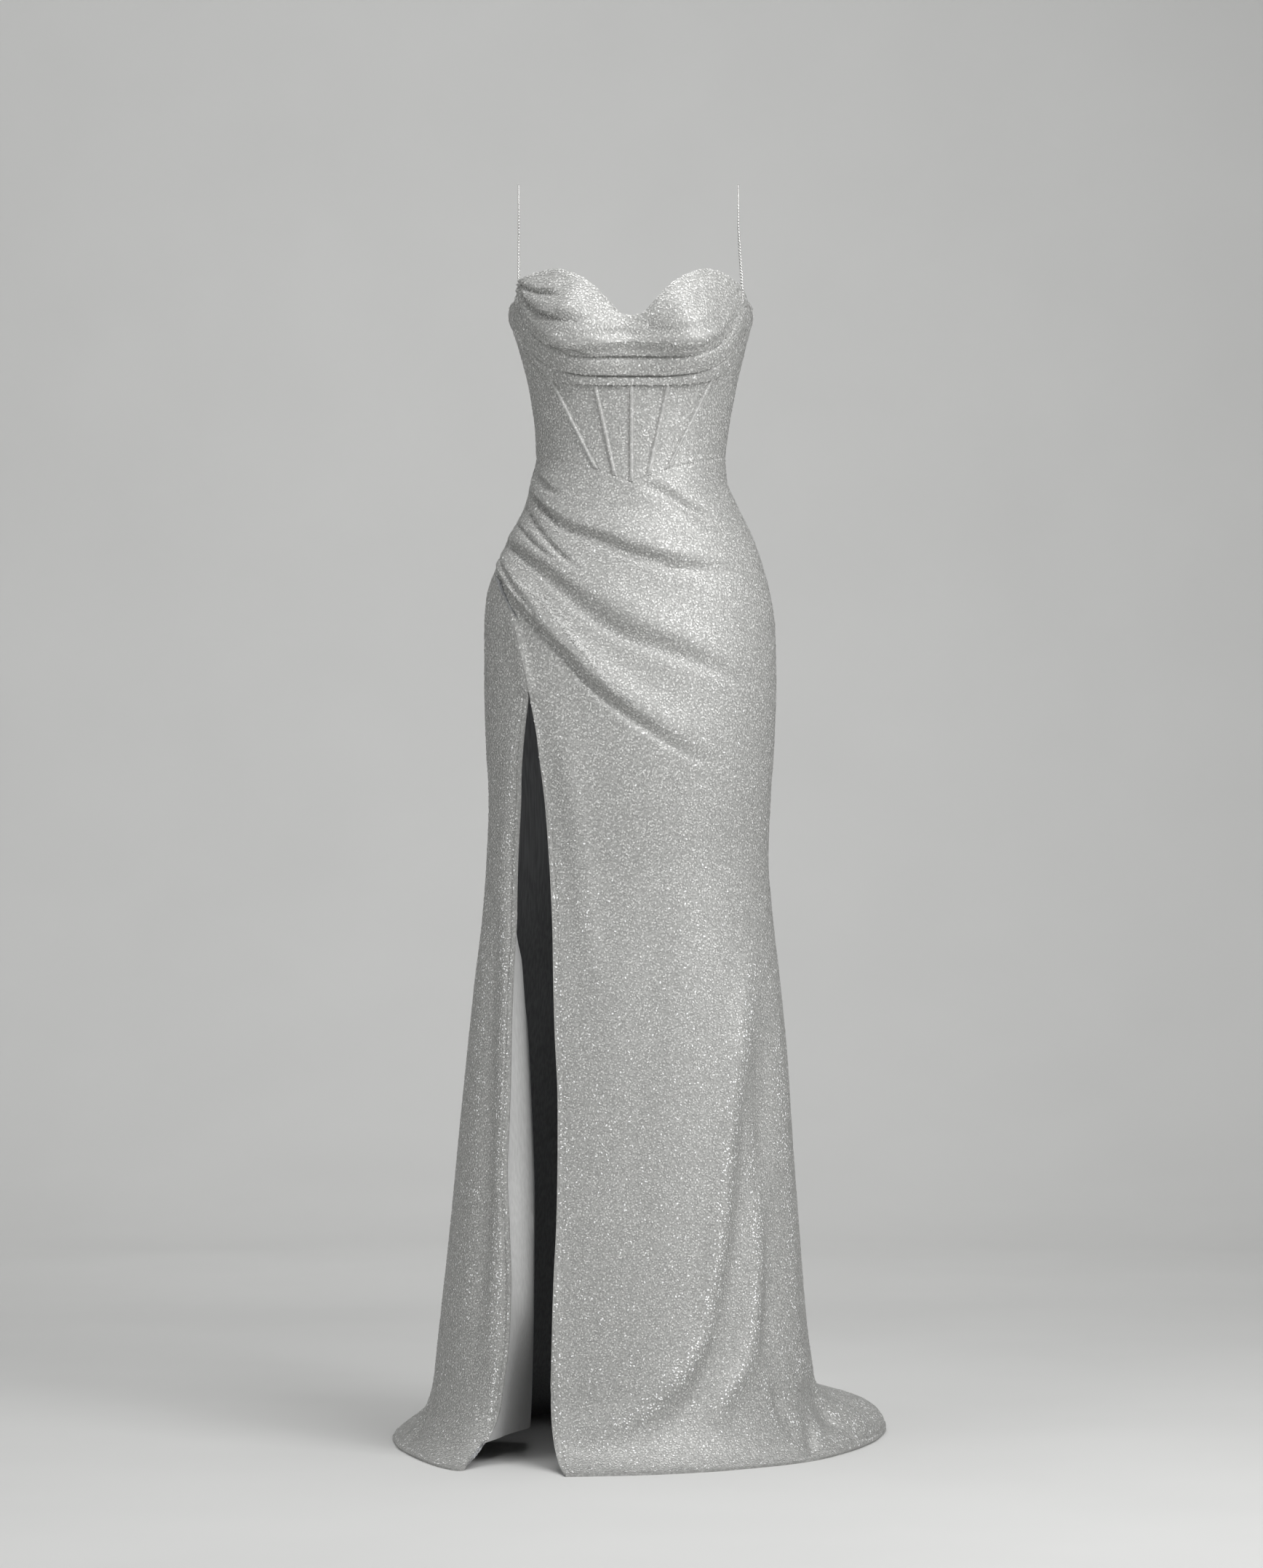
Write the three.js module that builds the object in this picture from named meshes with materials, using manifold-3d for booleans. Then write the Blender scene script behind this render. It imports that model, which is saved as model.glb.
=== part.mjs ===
// A floor-length fit-and-flare evening dress of sequin cloth, worn by nobody but filled out as if worn.
// Millimetres, +Z up, +X to the viewer's right, the front faces -Y.
// Heights in the tables are above the floor; the part's origin is midway between the two strap tops.
// Angles are in degrees around the body: 0 at the centre front, 90 at the right side seam, 180 at the
// centre back and 270 (or -90) at the left side seam, as the viewer sees left and right.
import * as THREE from "three";
import Module from "manifold-3d";
import { mergeVertices } from "three/addons/utils/BufferGeometryUtils.js";

const wasm = await Module();
wasm.setup();

// Driving dimensions.
const SHOULDER_HEIGHT = 1440; // strap tops above the floor
const CLOTH = 2; // sequin cloth with its backing
const SATIN = 1.2; // lining
const SEAM = 0.3; // gap at every seam
const BEND_HEIGHT = 88; // where the skirt stops falling and turns out along the floor
const FLOOR_LIFT = CLOTH + 0.2; // outer face of the hem where its underside is on the floor
const STRAP_RADIUS = 1.2;
const SHOULDER_RADIUS = 41.5; // of the strap's arc over the shoulder
const BONE_WIDTH = 5;
const ZIP_BOTTOM = 925;
const ZIP_TAPE_WIDTH = 24;
const FLOOR_SPLAY = 0.8; // how much of a train crease's depth reaches the floor side
const PASSES = 8; // rounds that settle a height and an angle that depend on each other

// A short table with named columns.
function table(names, rows) {
  const keys = names.split(" ");
  return rows.map((row) => Object.fromEntries(keys.map((key, i) => [key, row[i]])));
}

// Half widths and depths of the body of the dress, from the floor up.
const BODY = table("height left right front back", [
  [0, 234, 217, 195, 250],
  [83, 225, 208, 186, 235],
  [140, 219, 200, 176, 218],
  [240, 208, 191.7, 160, 192],
  [340, 198.4, 184, 145, 165],
  [440, 188.4, 177.6, 132, 140],
  [539, 178, 168.5, 120, 122],
  [605, 170, 161, 112, 108],
  [672, 165, 156, 108, 101],
  [738, 162.7, 158.5, 110, 105],
  [805, 166, 162.7, 111, 110],
  [871, 167.7, 165, 110, 114],
  [937, 167.7, 163.5, 106, 119],
  [971, 165, 158.5, 104, 117],
  [1004, 154, 150, 101, 110],
  [1037, 140, 138.6, 97, 103],
  [1078, 120, 118.7, 92, 92],
  [1103, 114.5, 108.7, 90, 87],
  [1128, 108.7, 107, 88, 84],
  [1153, 110, 108.7, 89, 84],
  [1203, 117.9, 117, 92, 85],
  [1253, 131, 128.6, 97, 88],
  [1290, 140.5, 139, 100, 92],
  [1345, 141, 140, 94, 92],
]);

// The two cups of the bodice, as a forward bulge.
const CUP = { x: 71, height: 1264, depth: 38, outward: 46, above: 56, below: 42, between: 0.32 };

const NECKLINE = table("angle height", [
  [0, 1281.5],
  [5, 1284],
  [11, 1298],
  [17.5, 1314],
  [24, 1325.5],
  [31, 1333],
  [38, 1336],
  [47, 1332.7],
  [57, 1325],
  [65, 1317.5],
  [76, 1305.5],
  [90, 1290],
  [105, 1272],
  [130, 1252],
  [180, 1240],
]);

// The waist seam dips to a point at the centre front.
const WAIST = table("x height", [
  [0, 1096],
  [18, 1103],
  [41, 1111.6],
  [87, 1123],
  [108, 1128],
]);

// Corset seams, as distances from the centre front.
const CORSET_SEAMS = table("height inner outer", [
  [1096, 17.7, 35.7],
  [1104, 19.5, 39.5],
  [1204, 41.5, 86.3],
  [1336, 52, 100],
]);

// Fold lines of the bust drape: the height of each at seven angles, mirrored about the centre.
const DRAPE_ANGLES = ["0", "15", "31", "45", "52", "60", "68", "76", "90"];
const DRAPE_LINES = table(DRAPE_ANGLES.join(" "), [
  [1203.6, 1204.2, 1206.4, 1210.8, 1216.5, 1229, 1245, 1266, 1282],
  [1213.4, 1214.2, 1217.5, 1224.4, 1231.5, 1242, 1259.5, 1276, 1284.5],
  [1234.4, 1234.6, 1236.5, 1246, 1258, 1284, 1297, 1296, 1287],
  [1252, 1250.5, 1250.5, 1264, 1282, 1296, 1303, 1301, 1288.5],
]);

// Rows of the bust drape: where each lies between the fold lines (4 is the neckline) and how far it stands proud.
const DRAPE_ROWS = table("line lift", [
  [0, 1],
  [0.5, 2.6],
  [0.93, 1.2],
  [1.05, 3.6],
  [1.5, 4],
  [1.94, 1.6],
  [2.05, 4.6],
  [2.5, 2.8],
  [2.9, 3],
  [3.05, 6.6],
  [3.25, 7.4],
  [3.55, 4.8],
  [3.8, 2.4],
  [4, 0.9],
]);

// Two short pleats that leave the left strap point.
const CUP_PLEATS = table("path groove ridge width", [
  [[[-121, 1318], [-110, 1312], [-92, 1307]], 1.6, 1.8, 5],
  [[[-122, 1314], [-109, 1295], [-84, 1277]], 2.2, 2.4, 6],
]);

// Gathers that leave the left side seam of the skirt front. Each path is in the front view.
const HIP_FOLDS = table("path groove ridge width", [
  [[[-109, 1112], [-100, 1094], [-76, 1074]], 5, 4, 6],
  [[[-113, 1083], [-80, 1060], [-49, 1034], [-12, 1018], [95, 992]], 6, 5, 8],
  [[[-118, 1065], [-101, 1043], [-78, 1018], [-52, 996]], 3.5, 3, 5],
  [[[-128, 1050], [-106, 1027], [-80, 1010]], 3.5, 3, 5],
  [[[-139, 1025], [-110, 1000], [-76, 977], [-3, 929], [100, 880]], 6, 5, 8],
  [[[-144, 1013], [-131, 991], [-108, 954]], 3.5, 3, 5],
  [[[-150, 998], [-117, 940], [-71, 892], [-3, 833], [50, 806]], 8, 7, 9],
  [[[9, 1094], [34, 1080], [77, 1057], [104, 1044]], 3.5, 3, 9],
]);

// Long soft folds lower down, raised (ridge) or sunk (groove).
const SKIRT_FOLDS = table("path groove ridge width", [
  [[[133, 553], [116, 414], [92, 275], [52, 121], [5, 50]], 0, 6, 26],
  [[[142, 480], [150, 300], [153, 160], [160, 30]], 6, 0, 16],
  [[[30, 640], [12, 420], [-8, 220]], 3, 0, 26],
]);
const SIDE_FRONT_FOLDS = table("path groove ridge width", [
  [[[-150, 620], [-158, 473], [-165, 254], [-176, 90]], 4.5, 3, 11],
]);

// Rows of the skirt front from the waist seam down. They sag from the gathered left side seam.
const FRONT_ROWS = table("left quarter middle right steps", [
  [1108, 1094, 1077, 1098, 3],
  [1086, 1071, 1012, 990, 2],
  [1064, 1036, 985, 945, 4],
  [1026, 999, 926, 862, 4],
  [1003, 975, 850, 765, 1],
  [995.5, 968, 832, 742, 1],
  [988, 900, 805, 715, 3],
  [915, 812, 745, 665, 3],
  [856, 752, 690, 605, 3],
  [720, 650, 590, 510, 3],
  [480, 450, 425, 395, 2],
  [250, 250, 250, 250, 2],
  [BEND_HEIGHT, BEND_HEIGHT, BEND_HEIGHT, BEND_HEIGHT, 0],
]);
const WAIST_STEPS = 2; // rows between the waist seam and the first row of that table

// Left edge of the skirt front: side seam, wrap edge, then the slit's right edge.
const FRONT_EDGE = table("height angle", [
  [0, -23.2],
  [83, -23.4],
  [190, -23.8],
  [298, -24.2],
  [405, -25.5],
  [476, -27.7],
  [590, -31.1],
  [702, -35.3],
  [777, -38.5],
  [812, -39.9],
  [856, -43.1],
  [876, -44.3],
  [908, -47.9],
  [936, -51.4],
  [963, -57.5],
  [988, -68],
  [1003, -90],
]);
const SLIT_TOP = 856;

// Left edge of the slit below its top.
const SIDE_FRONT_EDGE = table("height angle", [
  [0, -39.5],
  [91, -39.2],
  [131, -38.4],
  [187, -39],
  [258, -41.3],
  [330, -43.9],
  [402, -44.9],
  [500, -47.3],
  [584, -49.1],
  [672, -50.9],
  [756, -49.8],
  [798, -47.6],
  [830, -45.5],
  [856, -43.5],
]);

// The hem on the floor from the slit's right edge round the back to its left edge: where the rim is,
// how far it is off the floor, and the heights of the bend's knee and of the crest before the rim.
const HEM = table("angle x y lift knee crest reach", [
  [-23, -71.5, -255, 0, 34, 4, 0.45],
  [0, 5, -243, 0, 34, 4, 0.45],
  [24, 81.6, -216, 0, 34, 5, 0.45],
  [42, 138.5, -180, 0, 36, 8, 0.5],
  [55, 173, -153, 0, 38, 12, 0.5],
  [68, 208.5, -113, 0, 40, 18, 0.6],
  [80, 239, -58, 0, 42, 26, 0.7],
  [90, 265, 4, 0, 42, 34, 0.8],
  [110, 289, 97, 0, 42, 42, 0.9],
  [127, 298, 175, 0, 42, 42, 0.9],
  [150, 215, 275, 0, 36, 26, 0.8],
  [180, 0, 330, 0, 30, 14, 0.7],
  [210, -190, 285, 0, 32, 18, 0.7],
  [235, -262, 180, 0, 40, 26, 0.8],
  [248, -276, 104, 0, 42, 30, 0.8],
  [268, -268, 7, 0, 42, 26, 0.75],
  [286, -239, -106, 0, 40, 16, 0.6],
  [298, -208, -183, 0, 36, 8, 0.5],
  [310, -189, -206, 0, 34, 8, 0.5],
  [316, -178, -186, 7, 36, 18, 0.5],
  [321, -166, -158, 22, 44, 34, 0.5],
]);
const HEM_START = -27; // angles count up from here, inside the slit
const FOOT_STEPS = [0.25, 0.5, 0.72, 0.9, 1]; // along the bend from the wall to the rim

// Creases that cross the train from the bend to the rim.
const TRAIN_CREASES = table("angle depth width", [
  [66, 9, 5],
  [88, 7, 8],
  [150, 10, 10],
  [180, 8, 12],
  [212, 10, 10],
  [284, 9, 6],
]);

// The satin lining inside the slit's left edge: its crest in plan.
const LINING = table("height x y", [
  [15, -118, 37],
  [74, -115.6, 38],
  [170, -113.6, 40],
  [282, -112.7, 34],
  [394, -116, 14],
  [505, -121, -30],
  [600, -127.5, -60],
]);
const LINING_TOP = 612;
const LINING_BACK_ANGLE = -104;

// The straps: where each meets the neckline, in the front view, and where its top is.
const STRAPS = table("name x topX backAngle", [
  ["strap_left", -126.7, -128.6, -112.5],
  ["strap_right", 124.2, 121.8, 116],
]);

const SEQUIN_CLOTH = { color: 0xb4b7b6, roughness: 0.45, metalness: 0.35 };
const LINING_SATIN = { color: 0xa6abad, roughness: 0.4, metalness: 0 };
const ZIP_METAL = { color: 0xb9babc, roughness: 0.3, metalness: 0.9 };
const ZIP_TAPE = { color: 0xa8abab, roughness: 0.8, metalness: 0 };

const RADIANS = Math.PI / 180;
const lerp = THREE.MathUtils.lerp;

// One column of a table as a smooth function of another, with no overshoot between rows.
function columnCurve(rows, key, column) {
  const x = rows.map((row) => row[key]);
  const y = rows.map((row) => row[column]);
  const last = x.length - 1;
  const rise = x.slice(1).map((value, i) => (y[i + 1] - y[i]) / (value - x[i]));
  const slope = x.map((_, i) => {
    if (i === 0) return rise[0];
    if (i === last) return rise[last - 1];
    const product = rise[i - 1] * rise[i];
    return product <= 0 ? 0 : (2 * product) / (rise[i - 1] + rise[i]);
  });
  return (value) => {
    if (value <= x[0]) return y[0] + slope[0] * (value - x[0]);
    if (value >= x[last]) return y[last] + slope[last] * (value - x[last]);
    const i = x.findIndex((edge) => value < edge) - 1;
    const width = x[i + 1] - x[i];
    const t = (value - x[i]) / width;
    return (
      y[i] * (1 + 2 * t) * (1 - t) ** 2 +
      slope[i] * width * t * (1 - t) ** 2 +
      y[i + 1] * t * t * (3 - 2 * t) +
      slope[i + 1] * width * t * t * (t - 1)
    );
  };
}

const bodyCurves = {};
for (const column of ["left", "right", "front", "back"]) {
  bodyCurves[column] = columnCurve(BODY, "height", column);
}
const hemCurves = {};
for (const column of ["x", "y", "lift", "knee", "crest", "reach"]) {
  hemCurves[column] = columnCurve(HEM, "angle", column);
}
const neckCurve = columnCurve(NECKLINE, "angle", "height");
const waistCurve = columnCurve(WAIST, "x", "height");
const innerSeam = columnCurve(CORSET_SEAMS, "height", "inner");
const outerSeam = columnCurve(CORSET_SEAMS, "height", "outer");
const frontEdge = columnCurve(FRONT_EDGE, "height", "angle");
const sideFrontEdge = columnCurve(SIDE_FRONT_EDGE, "height", "angle");

// How far the cups push the bodice forward at a point of the front view.
function cupBulge(x, height) {
  const out = Math.abs(x) - CUP.x;
  const across =
    out > 0
      ? Math.exp(-((out / CUP.outward) ** 2))
      : lerp(CUP.between, 1, Math.sin((Math.PI / 2) * (Math.abs(x) / CUP.x)) ** 2);
  const fall = height - CUP.height;
  return CUP.depth * across * Math.exp(-((fall / (fall > 0 ? CUP.above : CUP.below)) ** 2));
}

// The outer face of the fitted body: an ellipse in plan with its own left, right, front and back radii.
function bodyAt(angle, height) {
  const sine = Math.sin(angle * RADIANS);
  const cosine = Math.cos(angle * RADIANS);
  const x = sine * (sine > 0 ? bodyCurves.right(height) : bodyCurves.left(height));
  const depth = cosine > 0 ? bodyCurves.front(height) : bodyCurves.back(height);
  const cups = cosine > 0 ? cupBulge(x, height) * Math.min(1, cosine * 4) : 0;
  return new THREE.Vector3(x, -depth * cosine - cups, height);
}

// The angle of a point of the front view.
function angleOf(x, height) {
  const half = x > 0 ? bodyCurves.right(height) : bodyCurves.left(height);
  return Math.asin(THREE.MathUtils.clamp(x / half, -1, 1)) / RADIANS;
}

// The outer face of the skirt. A level above 0 is the height above the bend, and one from 0 to -1 runs
// along the bend to the rim as a Bezier curve that leaves the wall in its own direction.
function skirtAt(angle, level) {
  if (level >= 0) return bodyAt(angle, BEND_HEIGHT + level);
  const t = -level;
  const around = ((((angle - HEM_START) % 360) + 360) % 360) + HEM_START;
  const wall = bodyAt(angle, BEND_HEIGHT);
  const knee = bodyAt(angle, hemCurves.knee(around));
  const rim = new THREE.Vector3(
    hemCurves.x(around),
    hemCurves.y(around),
    hemCurves.lift(around) + FLOOR_LIFT,
  );
  const crest = knee.clone().lerp(rim, hemCurves.reach(around));
  crest.z = Math.max(hemCurves.crest(around), rim.z);
  let crease = 0;
  for (const row of TRAIN_CREASES) {
    crease += row.depth * Math.exp(-(((around - row.angle) / row.width) ** 2));
  }
  const sink = crease * Math.sin(Math.PI * t) * FLOOR_SPLAY;
  const point = wall.multiplyScalar((1 - t) ** 3);
  point.addScaledVector(knee, 3 * t * (1 - t) ** 2);
  point.addScaledVector(crest, 3 * t * t * (1 - t));
  point.addScaledVector(rim, t ** 3);
  point.z = Math.max(point.z - sink, FLOOR_LIFT);
  return point;
}

// The outward normal of a surface of (angle, level), where the level grows upwards.
function normalOf(surface, angle, level) {
  const stepAngle = 0.2;
  const stepLevel = level < 0 ? 0.02 : 0.5;
  const low = level < 0 ? Math.max(level - stepLevel, -1) : level;
  const high = level < 0 ? Math.min(level + stepLevel, -1e-6) : level + stepLevel;
  const along = surface(angle + stepAngle, level).sub(surface(angle - stepAngle, level));
  const up = surface(angle, high).sub(surface(angle, low));
  return along.cross(up).normalize();
}

// How many degrees the surface takes to run a given number of millimetres sideways.
function degreesFor(surface, angle, level, length) {
  const step = 0.5;
  const run = surface(angle + step, level).distanceTo(surface(angle - step, level));
  return (2 * step * length) / run;
}

// A fold's ridge lies this many groove widths above its groove, and is this much wider. The fold fades
// in and out over these shares of its length.
const FOLD = { offset: 1.6, spread: 1.3, fadeIn: [-0.1, 0.12], fadeOut: [0.55, 1] };

// Relief of one fold at a point of the front view: a narrow groove with a ridge above it, faded at the ends.
function foldRelief(fold, x, height) {
  let best = Infinity;
  let side = 1;
  let along = 0;
  for (let i = 1; i < fold.line.length; i++) {
    const [a, b] = [fold.line[i - 1], fold.line[i]];
    const [dx, dz] = [b.x - a.x, b.y - a.y];
    const raw = ((x - a.x) * dx + (height - a.y) * dz) / (dx * dx + dz * dz);
    const t = THREE.MathUtils.clamp(raw, 0, 1);
    const distance = Math.hypot(x - a.x - t * dx, height - a.y - t * dz);
    if (distance < best) {
      best = distance;
      side = dx * (height - a.y) - dz * (x - a.x) >= 0 ? 1 : -1;
      along = (i - 1 + t) / (fold.line.length - 1);
    }
  }
  const starts = THREE.MathUtils.smoothstep(along, ...FOLD.fadeIn);
  const ends = THREE.MathUtils.smoothstep(along, ...FOLD.fadeOut);
  const reach = best * side;
  const groove = fold.groove * Math.exp(-((reach / fold.width) ** 2));
  const offset = fold.groove ? FOLD.offset * fold.width : 0;
  const ridge = fold.ridge * Math.exp(-(((reach - offset) / (FOLD.spread * fold.width)) ** 2));
  return starts * (1 - ends) * (ridge - groove);
}

const FOLD_POINTS = 24;
function foldsOf(rows) {
  for (const fold of rows) {
    const points = fold.path.map(([x, z]) => new THREE.Vector2(x, z));
    fold.line = new THREE.SplineCurve(points).getPoints(FOLD_POINTS);
  }
  return (x, height) => rows.reduce((sum, fold) => sum + foldRelief(fold, x, height), 0);
}

const frontRelief = foldsOf([...HIP_FOLDS, ...SKIRT_FOLDS]);
const sideFrontRelief = foldsOf(SIDE_FRONT_FOLDS);
const cupRelief = foldsOf(CUP_PLEATS);

// A closed wall between an outer and an inner grid of points, each (columns + 1) by (rows + 1).
function wall(columns, rows, pairAt) {
  const positions = [];
  for (let j = 0; j <= rows; j++) {
    for (let i = 0; i <= columns; i++) {
      for (const point of pairAt(i, j)) {
        positions.push(point.x, point.y, point.z - SHOULDER_HEIGHT);
      }
    }
  }
  const at = (i, j, inner) => 2 * (j * (columns + 1) + i) + inner;
  const faces = [];
  const quad = (a, b, c, d) => faces.push(a, b, c, a, c, d);
  for (let j = 0; j < rows; j++) {
    for (let i = 0; i < columns; i++) {
      quad(at(i, j, 0), at(i, j + 1, 0), at(i + 1, j + 1, 0), at(i + 1, j, 0));
      quad(at(i, j, 1), at(i + 1, j, 1), at(i + 1, j + 1, 1), at(i, j + 1, 1));
    }
  }
  for (let i = 0; i < columns; i++) {
    quad(at(i, 0, 0), at(i + 1, 0, 0), at(i + 1, 0, 1), at(i, 0, 1));
    quad(at(i, rows, 0), at(i, rows, 1), at(i + 1, rows, 1), at(i + 1, rows, 0));
  }
  for (let j = 0; j < rows; j++) {
    quad(at(0, j, 0), at(0, j, 1), at(0, j + 1, 1), at(0, j + 1, 0));
    quad(at(columns, j, 0), at(columns, j + 1, 0), at(columns, j + 1, 1), at(columns, j, 1));
  }
  const geometry = new THREE.BufferGeometry();
  geometry.setAttribute("position", new THREE.Float32BufferAttribute(positions, 3));
  geometry.setIndex(faces);
  return geometry;
}

// The outer and inner points of a wall at one place of a surface.
function pairOn(surface, angle, level, outer, inner) {
  const base = surface(angle, level);
  const normal = normalOf(surface, angle, level);
  return [
    base.clone().addScaledVector(normal, outer),
    base.clone().addScaledVector(normal, inner),
  ];
}

// A panel's own edges stand half a seam inside its cutting lines.
function insetAngle(surface, from, to, share, level) {
  const angle = lerp(from, to, share);
  const inset = degreesFor(surface, angle, level, SEAM / 2);
  return lerp(from + inset, to - inset, share);
}

const dress = new THREE.Group();

function add(name, geometry, finish) {
  geometry.computeVertexNormals();
  const mesh = new THREE.Mesh(geometry, new THREE.MeshStandardMaterial(finish));
  mesh.name = name;
  dress.add(mesh);
}

function waistAt(angle, height) {
  return Math.abs(angle) < 90 ? waistCurve(Math.abs(bodyAt(angle, height).x)) : WAIST.at(-1).height;
}

const neckAt = (angle) => neckCurve(Math.abs(angle));

// A bodice panel from the waist seam to the neckline between two seams, each an angle at a height.
const MIDRIFF = 1200; // a height half way up the bodice
function bodicePanel(fromSeam, toSeam, columns, rows) {
  return wall(columns, rows, (i, j) => {
    let height = lerp(neckAt(fromSeam(MIDRIFF)), WAIST.at(-1).height, j / rows);
    let angle = 0;
    for (let pass = 0; pass < PASSES; pass++) {
      angle = insetAngle(bodyAt, fromSeam(height), toSeam(height), i / columns, height);
      height = lerp(neckAt(angle), waistAt(angle, height), j / rows);
    }
    return pairOn(bodyAt, angle, height, 0, -CLOTH);
  });
}

// Six corset panels, whose seams the boning covers.
const CORSET_ROWS = 15;
const CORSET_COLUMNS = { centre: 5, middle: 4, side: 4 };
const centreFront = () => 0;
for (const [side, sign] of [["left", -1], ["right", 1]]) {
  const seams = [
    centreFront,
    (height) => angleOf(sign * innerSeam(height), height),
    (height) => angleOf(sign * outerSeam(height), height),
    () => sign * 90,
  ];
  ["centre", "middle", "side"].forEach((name, k) => {
    const [from, to] = sign > 0 ? [seams[k], seams[k + 1]] : [seams[k + 1], seams[k]];
    add(`corset_${name}_${side}`, bodicePanel(from, to, CORSET_COLUMNS[name], CORSET_ROWS), SEQUIN_CLOTH);
  });
}
add("bodice_back_right", bodicePanel(() => 90, () => 180, 6, 7), SEQUIN_CLOTH);
add("bodice_back_left", bodicePanel(() => -180, () => -90, 6, 7), SEQUIN_CLOTH);

// The height of a line of the bust drape: a whole number is a fold line, and the last is the neckline.
const drapeCurves = DRAPE_LINES.map((row) =>
  columnCurve(DRAPE_ANGLES.map((angle) => ({ angle: Number(angle), height: row[angle] })), "angle", "height"),
);
function drapeHeight(angle, line) {
  const lines = [...drapeCurves, neckCurve];
  const low = Math.min(Math.floor(line), lines.length - 2);
  return lerp(lines[low](Math.abs(angle)), lines[low + 1](Math.abs(angle)), line - low);
}

// The pleated bust drape lies on the cups, from side seam to side seam.
const DRAPE_COLUMNS = 36;
const SIDE_FADE = 42; // degrees over which the pleats flatten towards a side seam
const SIDE_LIFT = 0.25; // share of the lift that is left at the seam
const PLEAT_SINK = 0.5; // a pleat's groove sinks through at most this share of the lift
const UNDERARM = 1285;
add(
  "bust_drape",
  wall(DRAPE_COLUMNS, DRAPE_ROWS.length - 1, (i, j) => {
    const { line, lift } = DRAPE_ROWS[DRAPE_ROWS.length - 1 - j];
    const angle = insetAngle(bodyAt, -90, 90, i / DRAPE_COLUMNS, UNDERARM);
    const height = drapeHeight(angle, line);
    const atSide = THREE.MathUtils.smoothstep(90 - Math.abs(angle), 0, SIDE_FADE);
    const relief = cupRelief(bodyAt(angle, height).x, height);
    const pleat = line > 3 ? Math.max(relief, -lift * PLEAT_SINK) : 0;
    const inner = SEAM + Math.max((lift + pleat) * lerp(SIDE_LIFT, 1, atSide), 0);
    return pairOn(bodyAt, angle, height, inner + CLOTH, inner);
  }),
  SEQUIN_CLOTH,
);

// Boning channels lie over the corset seams, from the drape's edge to the waist seam.
const BONE_SECTION = table("across proud", [
  [-1, 0.8],
  [0, 2],
  [1, 0.8],
]);
const BONE_ROWS = 8;
const BONE_GAP = 0.6; // clears the corset's facets below the cups
const BONE_END_GAP = 0.8; // to the drape's edge and to the waist seam
function bone(name, seamX) {
  add(
    name,
    wall(BONE_SECTION.length - 1, BONE_ROWS, (i, j) => {
      const { across, proud } = BONE_SECTION[i];
      let height = MIDRIFF;
      let angle = 0;
      for (let pass = 0; pass < PASSES; pass++) {
        angle = angleOf(seamX(height), height);
        angle += degreesFor(bodyAt, angle, height, (across * BONE_WIDTH) / 2);
        const top = drapeHeight(angle, 0) - BONE_END_GAP;
        height = lerp(top, waistAt(angle, height) + BONE_END_GAP, j / BONE_ROWS);
      }
      return pairOn(bodyAt, angle, height, BONE_GAP + proud, BONE_GAP);
    }),
    SEQUIN_CLOTH,
  );
}
bone("bone_centre", () => 0);
for (const [side, sign] of [["left", -1], ["right", 1]]) {
  bone(`bone_inner_${side}`, (height) => sign * innerSeam(height));
  bone(`bone_outer_${side}`, (height) => sign * outerSeam(height));
}

// Every grid row of the skirt front: its heights at the left edge, a quarter, the middle and the right.
function frontRows() {
  const rows = [];
  for (let step = 0; step < WAIST_STEPS; step++) {
    rows.push({ seam: 1 - step / WAIST_STEPS, row: FRONT_ROWS[0] });
  }
  FRONT_ROWS.forEach((row, k) => {
    for (let step = 0; step < row.steps; step++) {
      const next = FRONT_ROWS[k + 1];
      const mixed = {};
      for (const column of ["left", "quarter", "middle", "right"]) {
        mixed[column] = lerp(row[column], next[column], step / row.steps);
      }
      rows.push({ seam: 0, row: mixed });
    }
  });
  rows.push({ seam: 0, row: FRONT_ROWS.at(-1) });
  return rows;
}
const FRONT_GRID = frontRows();

const FRONT_COLUMNS = 24;
const [WRAP_EDGE, SEAM_EDGE] = FRONT_EDGE.slice(-2); // the wrap edge leaves the side seam in a straight line
function frontEdgeAngle(height) {
  const share = (height - WRAP_EDGE.height) / (SEAM_EDGE.height - WRAP_EDGE.height);
  return share > 0 ? lerp(WRAP_EDGE.angle, SEAM_EDGE.angle, Math.min(share, 1)) : frontEdge(height);
}
function frontPair(i, j) {
  const share = i / FRONT_COLUMNS;
  if (j >= FRONT_GRID.length) {
    const level = -FOOT_STEPS[j - FRONT_GRID.length];
    const angle = insetAngle(skirtAt, frontEdge(0), 90, share, level);
    const base = skirtAt(angle, level);
    const relief = frontRelief(base.x, base.z) * (1 + level);
    return pairOn(skirtAt, angle, level, relief, relief - CLOTH);
  }
  const { seam, row } = FRONT_GRID[j];
  const leftHeight = lerp(row.left, WAIST.at(-1).height - SEAM, seam);
  const level = columnCurve(
    [
      { share: 0, height: row.left },
      { share: 0.25, height: row.quarter },
      { share: 0.5, height: row.middle },
      { share: 1, height: row.right },
    ],
    "share",
    "height",
  )(share);
  const angle = insetAngle(bodyAt, frontEdgeAngle(leftHeight), 90, share, level);
  let height = level;
  for (let pass = 0; pass < PASSES; pass++) {
    height = lerp(level, waistAt(angle, height) - SEAM, seam);
  }
  const point = bodyAt(angle, height);
  const relief = frontRelief(point.x, height) * (1 - seam);
  return pairOn(bodyAt, angle, height, relief, relief - CLOTH);
}
add(
  "skirt_front",
  wall(FRONT_COLUMNS, FRONT_GRID.length - 1 + FOOT_STEPS.length, frontPair),
  SEQUIN_CLOTH,
);

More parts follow.
